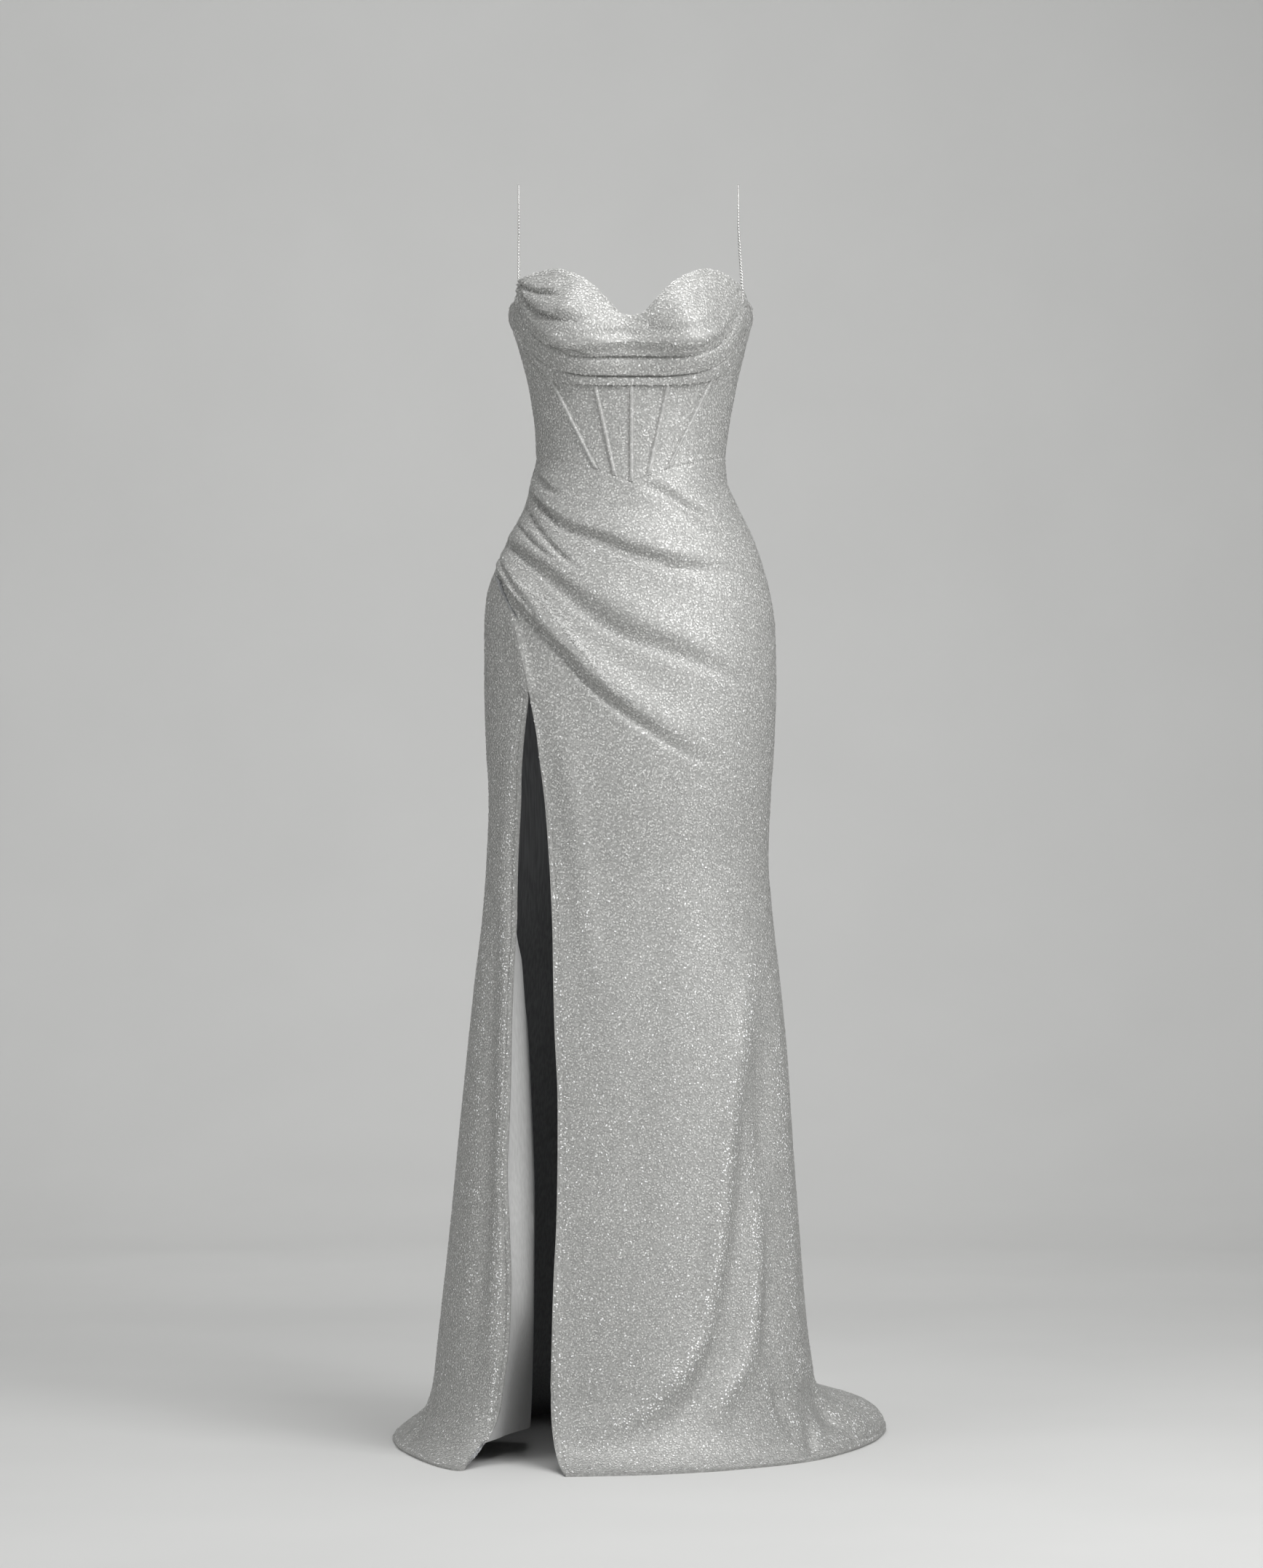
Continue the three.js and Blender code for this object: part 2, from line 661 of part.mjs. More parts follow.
// The narrow panel between the left side seam and the slit. Its rows meet those of the skirt front.
const SIDE_FRONT_COLUMNS = 5;
const SIDE_SEAM_TOP = SEAM_EDGE.height - SEAM;
const WRAP_TOP = WRAP_EDGE.height - SEAM;
const sideFrontRows = FRONT_GRID.map(({ row }) => row.left).filter((left) => left <= WRAP_TOP + SEAM);
function sideFrontAngle(height) {
  return height >= SLIT_TOP ? frontEdge(height) : sideFrontEdge(height);
}
add(
  "skirt_side_front",
  wall(SIDE_FRONT_COLUMNS, sideFrontRows.length - 1 + FOOT_STEPS.length, (i, j) => {
    const share = i / SIDE_FRONT_COLUMNS;
    if (j >= sideFrontRows.length) {
      const level = -FOOT_STEPS[j - sideFrontRows.length];
      const angle = insetAngle(skirtAt, -90, sideFrontEdge(0), share, level);
      return pairOn(skirtAt, angle, level, 0, -CLOTH);
    }
    const edgeHeight = sideFrontRows[j];
    const seamHeight = j === 0 ? SIDE_SEAM_TOP : edgeHeight;
    const height = lerp(seamHeight, j === 0 ? WRAP_TOP : edgeHeight, share);
    const angle = insetAngle(bodyAt, -90, sideFrontAngle(edgeHeight), share, height);
    const point = bodyAt(angle, height);
    const relief = sideFrontRelief(point.x, height);
    return pairOn(bodyAt, angle, height, relief, relief - CLOTH);
  }),
  SEQUIN_CLOTH,
);

// The two back skirt panels meet at the centre-back seam.
const BACK_HEIGHTS = [1100, 1070, 1035, 1000, 965, 930, 880, 820, 750, 670, 590, 500, 400, 300, 190, BEND_HEIGHT];
const BACK_COLUMNS = 9;
const backRows = [WAIST.at(-1).height - SEAM, ...BACK_HEIGHTS];
for (const [name, from, to] of [["skirt_back_right", 90, 180], ["skirt_back_left", 180, 270]]) {
  add(
    name,
    wall(BACK_COLUMNS, backRows.length - 1 + FOOT_STEPS.length, (i, j) => {
      const share = i / BACK_COLUMNS;
      const inFoot = j >= backRows.length;
      const surface = inFoot ? skirtAt : bodyAt;
      const level = inFoot ? -FOOT_STEPS[j - backRows.length] : backRows[j];
      const angle = insetAngle(surface, from, to, share, level);
      return pairOn(surface, angle, level, 0, -CLOTH);
    }),
    SEQUIN_CLOTH,
  );
}

// The slit's lining leaves the panel's edge, runs back to a crest and turns to the side seam.
const liningX = columnCurve(LINING, "height", "x");
const liningY = columnCurve(LINING, "height", "y");
const LINING_COLUMNS = 6;
const LINING_HEIGHTS = [LINING_TOP, 590, 540, 490, 430, 370, 300, 230, 160, BEND_HEIGHT];
const LINING_FOOT = [0.25, 0.5, 0.72];
const LINING_EDGE = 2; // degrees behind the slit's edge
const LINING_FRONT_GAP = 1.7; // to the inside of the panel, which clears its facets
const LINING_BACK_GAP = 6;
const LINING_TURN = { share: 0.15, depth: 4 }; // how the lining rounds its crest
add(
  "slit_lining",
  wall(LINING_COLUMNS, LINING_HEIGHTS.length - 1 + LINING_FOOT.length, (i, j) => {
    const inFoot = j >= LINING_HEIGHTS.length;
    const level = inFoot ? -LINING_FOOT[j - LINING_HEIGHTS.length] : LINING_HEIGHTS[j];
    const surface = inFoot ? skirtAt : bodyAt;
    const edge = (inFoot ? sideFrontEdge(0) : sideFrontAngle(level)) - LINING_EDGE;
    const [front] = pairOn(surface, edge, level, -CLOTH - LINING_FRONT_GAP, 0);
    const height = front.z;
    const [back] = pairOn(bodyAt, LINING_BACK_ANGLE, height, -CLOTH - LINING_BACK_GAP, 0);
    const crest = new THREE.Vector3(liningX(height), liningY(height), height);
    const curve = new THREE.CatmullRomCurve3([
      front,
      front.clone().lerp(crest, 0.5),
      crest,
      crest.clone().lerp(back, LINING_TURN.share).add(new THREE.Vector3(0, LINING_TURN.depth, 0)),
      back,
    ]);
    const share = i / LINING_COLUMNS;
    const point = curve.getPoint(share);
    const along = curve.getTangent(share);
    const across = new THREE.Vector3(along.y, -along.x, 0).normalize();
    return [point.clone().addScaledVector(across, SATIN), point];
  }),
  LINING_SATIN,
);

// A strap: a thin cord from the neckline over the shoulder to the back edge.
const STRAP_SIDES = 8;
const STRAP_STEPS = 28;
const STRAP_END_GAP = 0.9;
const STRAP_FOOT = 1318; // height of the strap's front end
const VIEW_DISTANCE = 6000; // from there in front, a strap's two halves lie in one line
for (const { name, x, topX, backAngle } of STRAPS) {
  const frontAngle = angleOf(x, STRAP_FOOT);
  const [front] = pairOn(bodyAt, frontAngle, neckAt(frontAngle), -CLOTH / 2, 0);
  const [back] = pairOn(bodyAt, backAngle, neckAt(backAngle), -CLOTH / 2, 0);
  const arcHeight = SHOULDER_HEIGHT - SHOULDER_RADIUS;
  const points = [new THREE.Vector3(front.x, front.y, front.z + STRAP_END_GAP)];
  points.push(new THREE.Vector3(lerp(front.x, topX, 0.5), -SHOULDER_RADIUS, lerp(front.z, arcHeight, 0.5)));
  for (const turn of [0, 45, 90, 135, 180]) {
    const y = -SHOULDER_RADIUS * Math.cos(turn * RADIANS);
    const z = arcHeight + SHOULDER_RADIUS * Math.sin(turn * RADIANS);
    points.push(new THREE.Vector3(topX * (1 + y / VIEW_DISTANCE), y, z));
  }
  points.push(new THREE.Vector3(lerp(back.x, topX, 0.5), SHOULDER_RADIUS, lerp(back.z, arcHeight, 0.5)));
  points.push(new THREE.Vector3(back.x, back.y, back.z + STRAP_END_GAP));
  const lowered = points.map((point) => point.clone().setZ(point.z - SHOULDER_HEIGHT));
  const section = new THREE.Shape(
    Array.from({ length: STRAP_SIDES }, (_, k) => {
      const turn = (2 * Math.PI * k) / STRAP_SIDES;
      return new THREE.Vector2(STRAP_RADIUS * Math.cos(turn), STRAP_RADIUS * Math.sin(turn));
    }),
  );
  const route = new THREE.CatmullRomCurve3(lowered, false, "centripetal");
  add(name, new THREE.ExtrudeGeometry(section, { steps: STRAP_STEPS, extrudePath: route }), SEQUIN_CLOTH);
}

// The concealed zip: its tape lies behind the centre-back seam.
const TAPE_ROWS = 16;
const TAPE_TOP_GAP = 3;
const TAPE_GAP = 1.5; // to the panels' inside, which clears their facets
const TAPE_THICK = 1;
add(
  "zip_tape",
  wall(2, TAPE_ROWS, (i, j) => {
    const height = lerp(neckAt(180) - TAPE_TOP_GAP, ZIP_BOTTOM, j / TAPE_ROWS);
    const angle = 180 + degreesFor(bodyAt, 180, height, (i - 1) * (ZIP_TAPE_WIDTH / 2));
    return pairOn(bodyAt, angle, height, -CLOTH - TAPE_GAP, -CLOTH - TAPE_GAP - TAPE_THICK);
  }),
  ZIP_TAPE,
);

// The zip's slider and its pull tab, at the top of the seam.
const SLIDER = { width: 5, length: 9, plate: 1.4, height: 1228 };
const LUG = { inner: 0.85, outer: 1.9, reach: 1.4 };
const BAR = { radius: 0.6, proud: 2.5, inset: 0.2 }; // the bar's axis stands this far off the plate
const LINK = { inner: 0.9, outer: 1.9, width: 1 };
const TAB = { start: 2.8, length: 19, width: 6, thick: 1 };
const sliderInner = bodyAt(180, SLIDER.height + SLIDER.length / 2).y + SEAM;
const barY = sliderInner + SLIDER.plate + BAR.proud;

function solidOf(geometry) {
  geometry.deleteAttribute("normal");
  geometry.deleteAttribute("uv");
  const merged = mergeVertices(geometry, 1e-4);
  return new wasm.Manifold(
    new wasm.Mesh({
      numProp: 3,
      vertProperties: new Float32Array(merged.attributes.position.array),
      triVerts: new Uint32Array(merged.index.array),
    }),
  );
}

function geometryOf(solid) {
  const mesh = solid.getMesh();
  const geometry = new THREE.BufferGeometry();
  geometry.setAttribute("position", new THREE.BufferAttribute(mesh.vertProperties, 3));
  geometry.setIndex(new THREE.BufferAttribute(mesh.triVerts, 1));
  return geometry;
}

function block(x0, x1, y0, y1, z0, z1) {
  const box = new THREE.BoxGeometry(x1 - x0, y1 - y0, z1 - z0);
  return solidOf(box.translate((x0 + x1) / 2, (y0 + y1) / 2, (z0 + z1) / 2));
}

// A flat outline in the YZ plane, given thickness along X about the middle.
function acrossX(shape, thickness) {
  const made = new THREE.ExtrudeGeometry(shape, { depth: thickness, bevelEnabled: false, curveSegments: 6 });
  made.translate(0, 0, -thickness / 2);
  return made.applyMatrix4(
    new THREE.Matrix4().makeBasis(
      new THREE.Vector3(0, 1, 0),
      new THREE.Vector3(0, 0, 1),
      new THREE.Vector3(1, 0, 0),
    ),
  );
}

const sliderZ = SLIDER.height - SHOULDER_HEIGHT;
let slider = block(
  -SLIDER.width / 2,
  SLIDER.width / 2,
  sliderInner,
  sliderInner + SLIDER.plate,
  sliderZ - SLIDER.length / 2,
  sliderZ + SLIDER.length / 2,
);
for (const sign of [-1, 1]) {
  const [low, high] = sign > 0 ? [LUG.inner, LUG.outer] : [-LUG.outer, -LUG.inner];
  slider = slider.add(
    block(low, high, sliderInner + SLIDER.plate / 2, barY + LUG.reach, sliderZ - LUG.reach, sliderZ + LUG.reach),
  );
}
const barShape = new THREE.Shape().absarc(barY, sliderZ, BAR.radius, 0, 2 * Math.PI);
slider = slider.add(solidOf(acrossX(barShape, 2 * (LUG.outer - BAR.inset))));
add("zip_slider", geometryOf(slider), ZIP_METAL);

const linkShape = new THREE.Shape().absarc(barY, sliderZ, LINK.outer, 0, 2 * Math.PI);
linkShape.holes.push(new THREE.Path().absarc(barY, sliderZ, LINK.inner, 0, 2 * Math.PI, true));
const tabTop = sliderZ - TAB.start;
const tabShape = new THREE.Shape();
tabShape.moveTo(-TAB.width / 4, tabTop);
tabShape.lineTo(-TAB.width / 2, tabTop - TAB.length + TAB.width / 2);
tabShape.absarc(0, tabTop - TAB.length + TAB.width / 2, TAB.width / 2, Math.PI, 2 * Math.PI);
tabShape.lineTo(TAB.width / 4, tabTop);
const tabPlate = new THREE.ExtrudeGeometry(tabShape, { depth: TAB.thick, bevelEnabled: false, curveSegments: 6 });
tabPlate.rotateX(Math.PI / 2);
tabPlate.translate(0, barY + TAB.thick / 2, 0);
const neck = block(
  -LINK.width / 2,
  LINK.width / 2,
  barY - TAB.thick / 2,
  barY + TAB.thick / 2,
  tabTop - 1,
  sliderZ - (LINK.inner + LINK.outer) / 2,
);
add("zip_pull", geometryOf(solidOf(acrossX(linkShape, LINK.width)).add(neck).add(solidOf(tabPlate))), ZIP_METAL);

export default dress;
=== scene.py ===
"""A floor-length evening dress of silver sequin cloth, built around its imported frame.

Tables and surfaces are in millimetres, with heights above the floor. Angles are degrees round the body:
0 at the centre front, 90 at the right side seam as the viewer sees it, 180 at the centre back and -90 at
the left.
"""

import math

import bpy
import numpy as np
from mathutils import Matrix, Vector


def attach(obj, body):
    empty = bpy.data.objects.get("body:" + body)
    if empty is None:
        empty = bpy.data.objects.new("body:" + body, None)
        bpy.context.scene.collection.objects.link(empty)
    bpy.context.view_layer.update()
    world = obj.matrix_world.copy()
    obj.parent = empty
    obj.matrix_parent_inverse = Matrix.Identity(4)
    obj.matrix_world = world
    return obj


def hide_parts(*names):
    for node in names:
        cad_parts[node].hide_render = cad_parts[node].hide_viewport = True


bl_info = {
    "name": "Sequin evening dress",
    "version": (1, 0, 0),
    "blender": (4, 5, 0),
    "location": "View3D > Sidebar > Dress",
    "description": "Builds the cloth, sequins, straps and zip of a floor-length dress",
    "category": "Object",
}

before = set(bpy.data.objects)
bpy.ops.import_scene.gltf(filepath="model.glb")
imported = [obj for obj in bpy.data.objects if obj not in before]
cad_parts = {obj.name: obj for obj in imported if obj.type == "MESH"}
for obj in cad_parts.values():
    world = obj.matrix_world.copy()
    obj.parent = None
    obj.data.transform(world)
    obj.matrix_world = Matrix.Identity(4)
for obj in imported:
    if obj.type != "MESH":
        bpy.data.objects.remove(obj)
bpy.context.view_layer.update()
BODY_NAME = "dress"

SHOULDER_HEIGHT = 1440  # strap tops above the floor, where the frame's origin is
MM = 0.001
BEND_HEIGHT = 88  # where the skirt turns out along the floor
FLOOR_LIFT = 2.2  # outer face of the hem where its underside is on the floor
SEAM = 0.3
SHOULDER_RADIUS = 41.5


def table(names, rows):
    """A short table as named columns: one array for each name."""
    values = np.array(rows, float)
    return {name: values[:, k] for k, name in enumerate(names.split())}


def listed(names, rows):
    """A list with one dictionary of named columns for each row."""
    return [dict(zip(names.split(), row)) for row in rows]


def curve(x, y):
    """One column as a smooth function of another. Between two rows it is a cubic Hermite piece, whose
    slope at a row is the harmonic mean of the slopes on its two sides, or 0 at a turn. Beyond the ends it
    is straight."""
    x, y = np.asarray(x, float), np.asarray(y, float)
    rise = np.diff(y) / np.diff(x)
    product, total = rise[:-1] * rise[1:], rise[:-1] + rise[1:]
    middle = np.where(product > 0, 2 * product / np.where(total == 0, 1, total), 0)
    slope = np.concatenate([rise[:1], middle, rise[-1:]])

    def at(value):
        value = np.asarray(value, float)
        i = np.clip(np.searchsorted(x, value, side="right") - 1, 0, len(x) - 2)
        width = x[i + 1] - x[i]
        t = np.clip((value - x[i]) / width, 0, 1)
        inside = y[i] * (1 + 2 * t) * (1 - t) ** 2 + slope[i] * width * t * (1 - t) ** 2
        inside += y[i + 1] * t * t * (3 - 2 * t) + slope[i + 1] * width * t * t * (t - 1)
        below = slope[0] * np.minimum(value - x[0], 0)
        return inside + below + slope[-1] * np.maximum(value - x[-1], 0)

    return at


def smoothstep(value, low, high):
    """0 below low, 1 above high, and 3t^2 - 2t^3 between them."""
    t = np.clip((np.asarray(value, float) - low) / (high - low), 0, 1)
    return t * t * (3 - 2 * t)


# Half widths and depths of the body of the dress.
BODY = table(
    "height left right front back",
    [
        [0, 234, 217, 195, 250],
        [83, 225, 208, 186, 235],
        [140, 219, 200, 176, 218],
        [240, 208, 191.7, 160, 192],
        [340, 198.4, 184, 145, 165],
        [440, 188.4, 177.6, 132, 140],
        [539, 178, 168.5, 120, 122],
        [605, 170, 161, 112, 108],
        [672, 165, 156, 108, 101],
        [738, 162.7, 158.5, 110, 105],
        [805, 166, 162.7, 111, 110],
        [871, 167.7, 165, 110, 114],
        [937, 167.7, 163.5, 106, 119],
        [971, 165, 158.5, 104, 117],
        [1004, 154, 150, 101, 110],
        [1037, 140, 138.6, 97, 103],
        [1078, 120, 118.7, 92, 92],
        [1103, 114.5, 108.7, 90, 87],
        [1128, 108.7, 107, 88, 84],
        [1153, 109.4, 109.6, 89, 84],
        [1203, 116, 118.2, 92, 85],
        [1253, 128.6, 129.8, 97, 88],
        [1275, 135.8, 135.4, 99, 90],
        [1290, 138.9, 137.2, 100, 92],
        [1345, 139.6, 138.4, 94, 92],
    ],
)
WIDTH_AT = {side: curve(BODY["height"], BODY[side]) for side in ("left", "right", "front", "back")}
CUP = {"x": 71, "height": 1264, "depth": 38, "outward": 46, "above": 56, "below": 42, "between": 0.32}

NECKLINE = table(
    "angle height",
    [
        [0, 1281.5],
        [5, 1284],
        [11, 1298],
        [17.5, 1314],
        [24, 1325.5],
        [31, 1333],
        [38, 1336],
        [47, 1332.7],
        [57, 1325],
        [64, 1318],
        [68, 1311],
        [72, 1303.5],
        [79, 1295.5],
        [90, 1290],
        [105, 1272],
        [130, 1252],
        [180, 1240],
    ],
)
WAIST = table("x height", [[0, 1096], [18, 1103], [41, 1111.6], [87, 1123], [108, 1128]])
SIDE_WAIST = 1128
CORSET_SEAMS = table(
    "height inner outer",
    [
        [1096, 17.2, 32.4],
        [1110, 20, 39.3],
        [1190, 37.5, 78.6],
        [1212, 42.3, 89.4],
        [1222, 44.4, 94],
        [1336, 52, 104],
    ],
)

# The fold lines of the bust drape, from its lower edge up: the height of each at nine angles.
DRAPE_ANGLES = [0, 15, 31, 45, 52, 60, 68, 76, 90]
DRAPE_LINES = [
    [1205.1, 1205.7, 1207.9, 1212.3, 1218, 1230.5, 1246.5, 1266.5, 1282],
    [1215.2, 1216, 1219.3, 1226.2, 1233.3, 1243.8, 1261, 1277, 1284.5],
    [1237.2, 1237.4, 1239.3, 1248.8, 1260.8, 1286, 1298, 1296.5, 1287],
    [1254.5, 1253, 1253, 1266, 1284, 1298, 1304.5, 1302, 1288.5],
]
NECK_LINE = 4
DRAPE_MIDDLE = 1285
# How far the bands of the drape stand proud, along the fold lines' numbers. A crease parts each two bands.
DRAPE_TUCKS = table(
    "line lift",
    [
        [0, 0.5],
        [0.05, 3.4],
        [0.35, 3.2],
        [0.8, 2.2],
        [0.97, -0.6],
        [1.03, 2.4],
        [1.1, 5],
        [1.4, 4.8],
        [1.8, 3],
        [1.97, -0.8],
        [2.03, 2.4],
        [2.1, 4],
        [2.5, 3],
        [3.2, 2.4],
        [3.9, 2],
        [4, 0.9],
    ],
)
# The rolled edge that hangs over the drape's upper band: it slopes out up to its crest, then back in
# above it.
DRAPE_ROLL = {"from": 2, "crest": 3, "lift": 5.6, "slope": 1.5, "lip": 0.1, "lip_share": 0.45, "above": 0.5}
TUCK_FADE, ROLL_FADE, SIDE_LIFT = (14, 36), (28, 52), 0.05
PLEAT_FADE = (14, 30)  # degrees from the side seam over which the cup's pleats come in
CREASE_START = (2.03, 2.12)  # lines over which the cups' creases come in, above the bands
LOWEST_LIFT = -1  # mm that the drape may sink into its form
DRAPE_SINK, CORSET_SINK = -0.7, 3.2  # mm that the drape's inner face and the corset behind it lie in

# Creases of the cups: a path in the front view, and a bell-shaped groove's depth and width.
CUP_CREASES = listed(
    "path depth width",
    [
        [[[-88, 1262], [-52, 1258], [-10, 1262], [30, 1262]], 1.6, 5],
        [[[10, 1272], [50, 1263], [100, 1275]], 2.6, 6],
    ],
)
# Pleats at the left of the left cup, which are gathered folds as at the hip.
CUP_PLEATS = listed(
    "path crest depth height fade",
    [
        [[[-119, 1321], [-109.4, 1312.3], [-97.3, 1306.4], [-78, 1302]], [3, 4, 6], 3, 4, [0.7, 1.1]],
        [
            [[-121, 1317], [-112.8, 1300.6], [-100.7, 1286.5], [-85.3, 1279], [-52, 1274]],
            [3, 4, 6], 4, 5.5, [0.75, 1.1],
        ],
        [
            [[-124.8, 1308], [-118, 1281], [-107.6, 1264], [-90.4, 1250], [-52, 1240]],
            [3, 4, 5], 4, 5, [0.75, 1.1],
        ],
    ],
)
# A gathered fold of the hip: the path of its crease in the front view, the distance from the crease up to
# its crest at three places along it, the crease's depth, the crest's height, and where along the path it
# dies out.
HIP_FOLDS = listed(
    "path crest depth height fade",
    [
        [[[-112, 1121], [-105, 1104], [-94, 1091], [-72, 1077]], [4, 7, 9], 4.6, 2.6, [0.45, 1]],
        [
            [[-113, 1085], [-101, 1069], [-81, 1049], [-31, 1027], [8, 1012], [53, 1000], [105, 994],
             [150, 996]],
            [6, 14, 17], 5.4, 5.6, [0.45, 1],
        ],
        [
            [[-118, 1067], [-104, 1045], [-84, 1020], [-62, 1000], [-50, 992]],
            [3.5, 5, 7], 3.6, 2, [0.6, 1],
        ],
        [[[-127, 1050], [-110, 1030], [-92, 1014], [-74, 1004]], [3, 4, 5], 3, 1.6, [0.5, 1]],
        [
            [[-139, 1028], [-99, 992], [-57, 953], [-13, 923], [30, 908], [72, 893], [120, 873],
             [160, 862]],
            [8, 27, 15], 4, 6.4, [0.45, 1],
        ],
        [
            [[-147, 1014], [-137, 992], [-124, 972], [-108, 952], [-94, 938]],
            [3.5, 5, 6], 3.4, 2, [0.5, 1],
        ],
        [
            [[-153, 1000], [-138, 971], [-111, 938], [-81, 905], [-55, 875], [-22, 845], [11, 821],
             [62, 790], [118, 765]],
            [6, 12, 18], 3.5, 9.5, [0.45, 1],
        ],
        [[[0, 1101], [30, 1087], [62, 1066], [98, 1048], [135, 1036]], [7, 12, 14], 2.6, 2.2, [0.5, 1]],
    ],
)
CREST_PLACES = [0, 0.35, 1]  # where along a path its three crests are given
CREST_TAIL = 15  # mm of the bell beyond a crest, added to half of the crest's distance
CREASE_BELL = (2, 0.15)  # mm of the bell below a crease, and what it gains from the crest's distance
GATHER_START = (-0.2, 0.05)  # shares of its path over which a gathered fold comes in
GROOVE_START, GROOVE_END = (-0.1, 0.2), (0.75, 1.05)  # and over which a groove comes in and dies out
# Long soft folds of the skirt: a bell-shaped ridge above zero height, or a groove below it.
SKIRT_FOLDS = listed(
    "path depth width",
    [
        [
            [[133, 553], [116, 414], [100, 250], [88, 158], [68, 122], [37, 87], [2, 57], [-74, 34]],
            -8, 15,
        ],
        [[[130, 430], [122, 320], [113, 233], [98, 168], [78, 92], [52, 52], [36, 24]], 6, 13],
        [[[150, 330], [140, 180], [129, 113], [113, 87], [98, 62], [103, 30]], -6, 10],
        [[[146, 470], [148, 380], [149, 263], [154, 193], [154, 127], [164, 92], [170, 40]], 6, 11],
        [[[160, 540], [170, 380], [178, 250], [185, 128], [195, 72], [205, 30]], -4, 10],
        [[[163, 80], [169, 52], [180, 34], [192, 16]], 6, 5],
        [[[196, 90], [206, 62], [220, 42], [238, 20]], 8, 10],
        [[[30, 640], [12, 420], [-8, 220]], 3, 26],
        [[[-80, 830], [-62, 720], [-50, 610], [-42, 520]], -4, 14],
        [[[-88, 250], [-84, 150], [-80, 60], [-74, 20]], -3, 8],
    ],
)
SIDE_FRONT_FOLDS = listed(
    "path depth width",
    [
        [[[-150, 620], [-158, 473], [-165, 254], [-176, 90]], 4.5, 10],
        [[[-140, 800], [-146, 560], [-149, 300], [-160, 60]], -3.5, 9],
    ],
)
FOLD_POINTS = 28

# Rows of the skirt front from the waist seam down. They sag from the gathered left side seam.
FRONT_ROWS = table(
    "left quarter middle right",
    [
        [1108, 1094, 1077, 1098],
        [1086, 1071, 1012, 990],
        [1064, 1036, 985, 945],
        [1026, 999, 926, 862],
        [1003, 975, 850, 765],
        [995.5, 968, 832, 742],
        [988, 900, 805, 715],
        [915, 812, 745, 665],
        [856, 752, 690, 605],
        [720, 650, 590, 510],
        [480, 450, 425, 395],
        [250, 250, 250, 250],
        [BEND_HEIGHT, BEND_HEIGHT, BEND_HEIGHT, BEND_HEIGHT],
    ],
)
FRONT_EDGE = table(
    "height angle",
    [
        [0, -23.2],
        [83, -23.4],
        [190, -23.8],
        [298, -24.2],
        [405, -25.5],
        [476, -27.7],
        [590, -31.1],
        [702, -35.3],
        [777, -38.5],
        [812, -39.9],
        [856, -43.1],
        [876, -44.3],
        [908, -47.9],
        [936, -51.4],
        [963, -57.5],
        [988, -68],
    ],
)
WRAP_HEIGHT, WRAP_ANGLE = 988, -68  # from here the wrap edge runs straight to the side seam
SEAM_HEIGHT = 1003
SLIT_TOP = 856
SIDE_FRONT_EDGE = table(
    "height angle",
    [
        [0, -39.5],
        [91, -39.2],
        [131, -38.4],
        [187, -39],
        [258, -41.3],
        [330, -43.9],
        [402, -44.9],
        [500, -47.3],
        [584, -49.1],
        [672, -50.9],
        [756, -49.8],
        [798, -47.6],
        [830, -45.5],
        [856, -43.5],
    ],
)
HEM = table(
    "angle x y lift knee crest reach",
    [
        [-23, -71.5, -255, 0, 34, 4, 0.45],
        [0, 5, -243, 0, 34, 4, 0.45],
        [24, 81.6, -216, 0, 34, 5, 0.45],
        [42, 138.5, -180, 0, 36, 8, 0.5],
        [55, 173, -153, 0, 38, 12, 0.5],
        [68, 208.5, -113, 0, 40, 18, 0.6],
        [80, 239, -58, 0, 42, 26, 0.7],
        [90, 265, 4, 0, 42, 40, 0.85],
        [105, 285, 75, 0, 46, 58, 0.96],
        [127, 298, 175, 0, 46, 60, 0.97],
        [150, 215, 275, 0, 36, 26, 0.8],
        [180, 0, 330, 0, 30, 14, 0.7],
        [210, -190, 285, 0, 32, 18, 0.7],
        [235, -262, 180, 0, 40, 26, 0.8],
        [248, -276, 104, 0, 38, 24, 0.8],
        [268, -268, 7, 0, 24, 20, 0.8],
        [286, -239, -106, 0, 22, 13, 0.7],
        [298, -208, -183, 0, 26, 8, 0.5],
        [310, -189, -206, 0, 34, 8, 0.5],
        [316, -178, -186, 7, 36, 18, 0.5],
        [321, -166, -158, 22, 44, 34, 0.5],
    ],
)
HEM_AT = {name: curve(HEM["angle"], HEM[name]) for name in ("x", "y", "lift", "knee", "crest", "reach")}
HEM_START = -27
FLOOR_SPLAY = 0.8
TRAIN_CREASES = table(
    "angle depth width",
    [[67, 20, 4], [87, 13, 4], [107, 15, 5], [150, 10, 10], [180, 8, 12], [212, 10, 10], [276, 14, 3]],
)
LINING = table(
    "height x y",
    [
        [15, -118, 37],
        [74, -115.6, 38],
        [170, -113.6, 40],
        [282, -112.7, 34],
        [394, -116, 14],
        [505, -121, -30],
        [600, -127.5, -60],
    ],
)
LINING_TOP, LINING_BACK_ANGLE, LINING_REACH, LINING_SLANT = 612, -104, 16, 0.7
LINING_TAPER = 60  # mm below its top over which the lining comes out from behind the panel
LINING_TUCK, LINING_HOLLOW = 2, 2  # mm that it lies further in there, and that it hollows beside the slit
LINING_GAP, LINING_BACK_GAP = 3.7, 8  # mm behind the panel at the slit, and inside the back panel
LINING_FALL = (10, 190)  # heights between which it leans deeper toward the floor
LINING_WAVE, LINING_WAVES = 1.6, 5  # mm of its soft half waves across, and how many
LINING_EASE, LINING_REST, LINING_SWELL, LINING_SINK = 0.35, 0.15, 4, 20  # shares of runs in plan, and mm
LINING_POINTS = 121
VIEW_DISTANCE = 6000

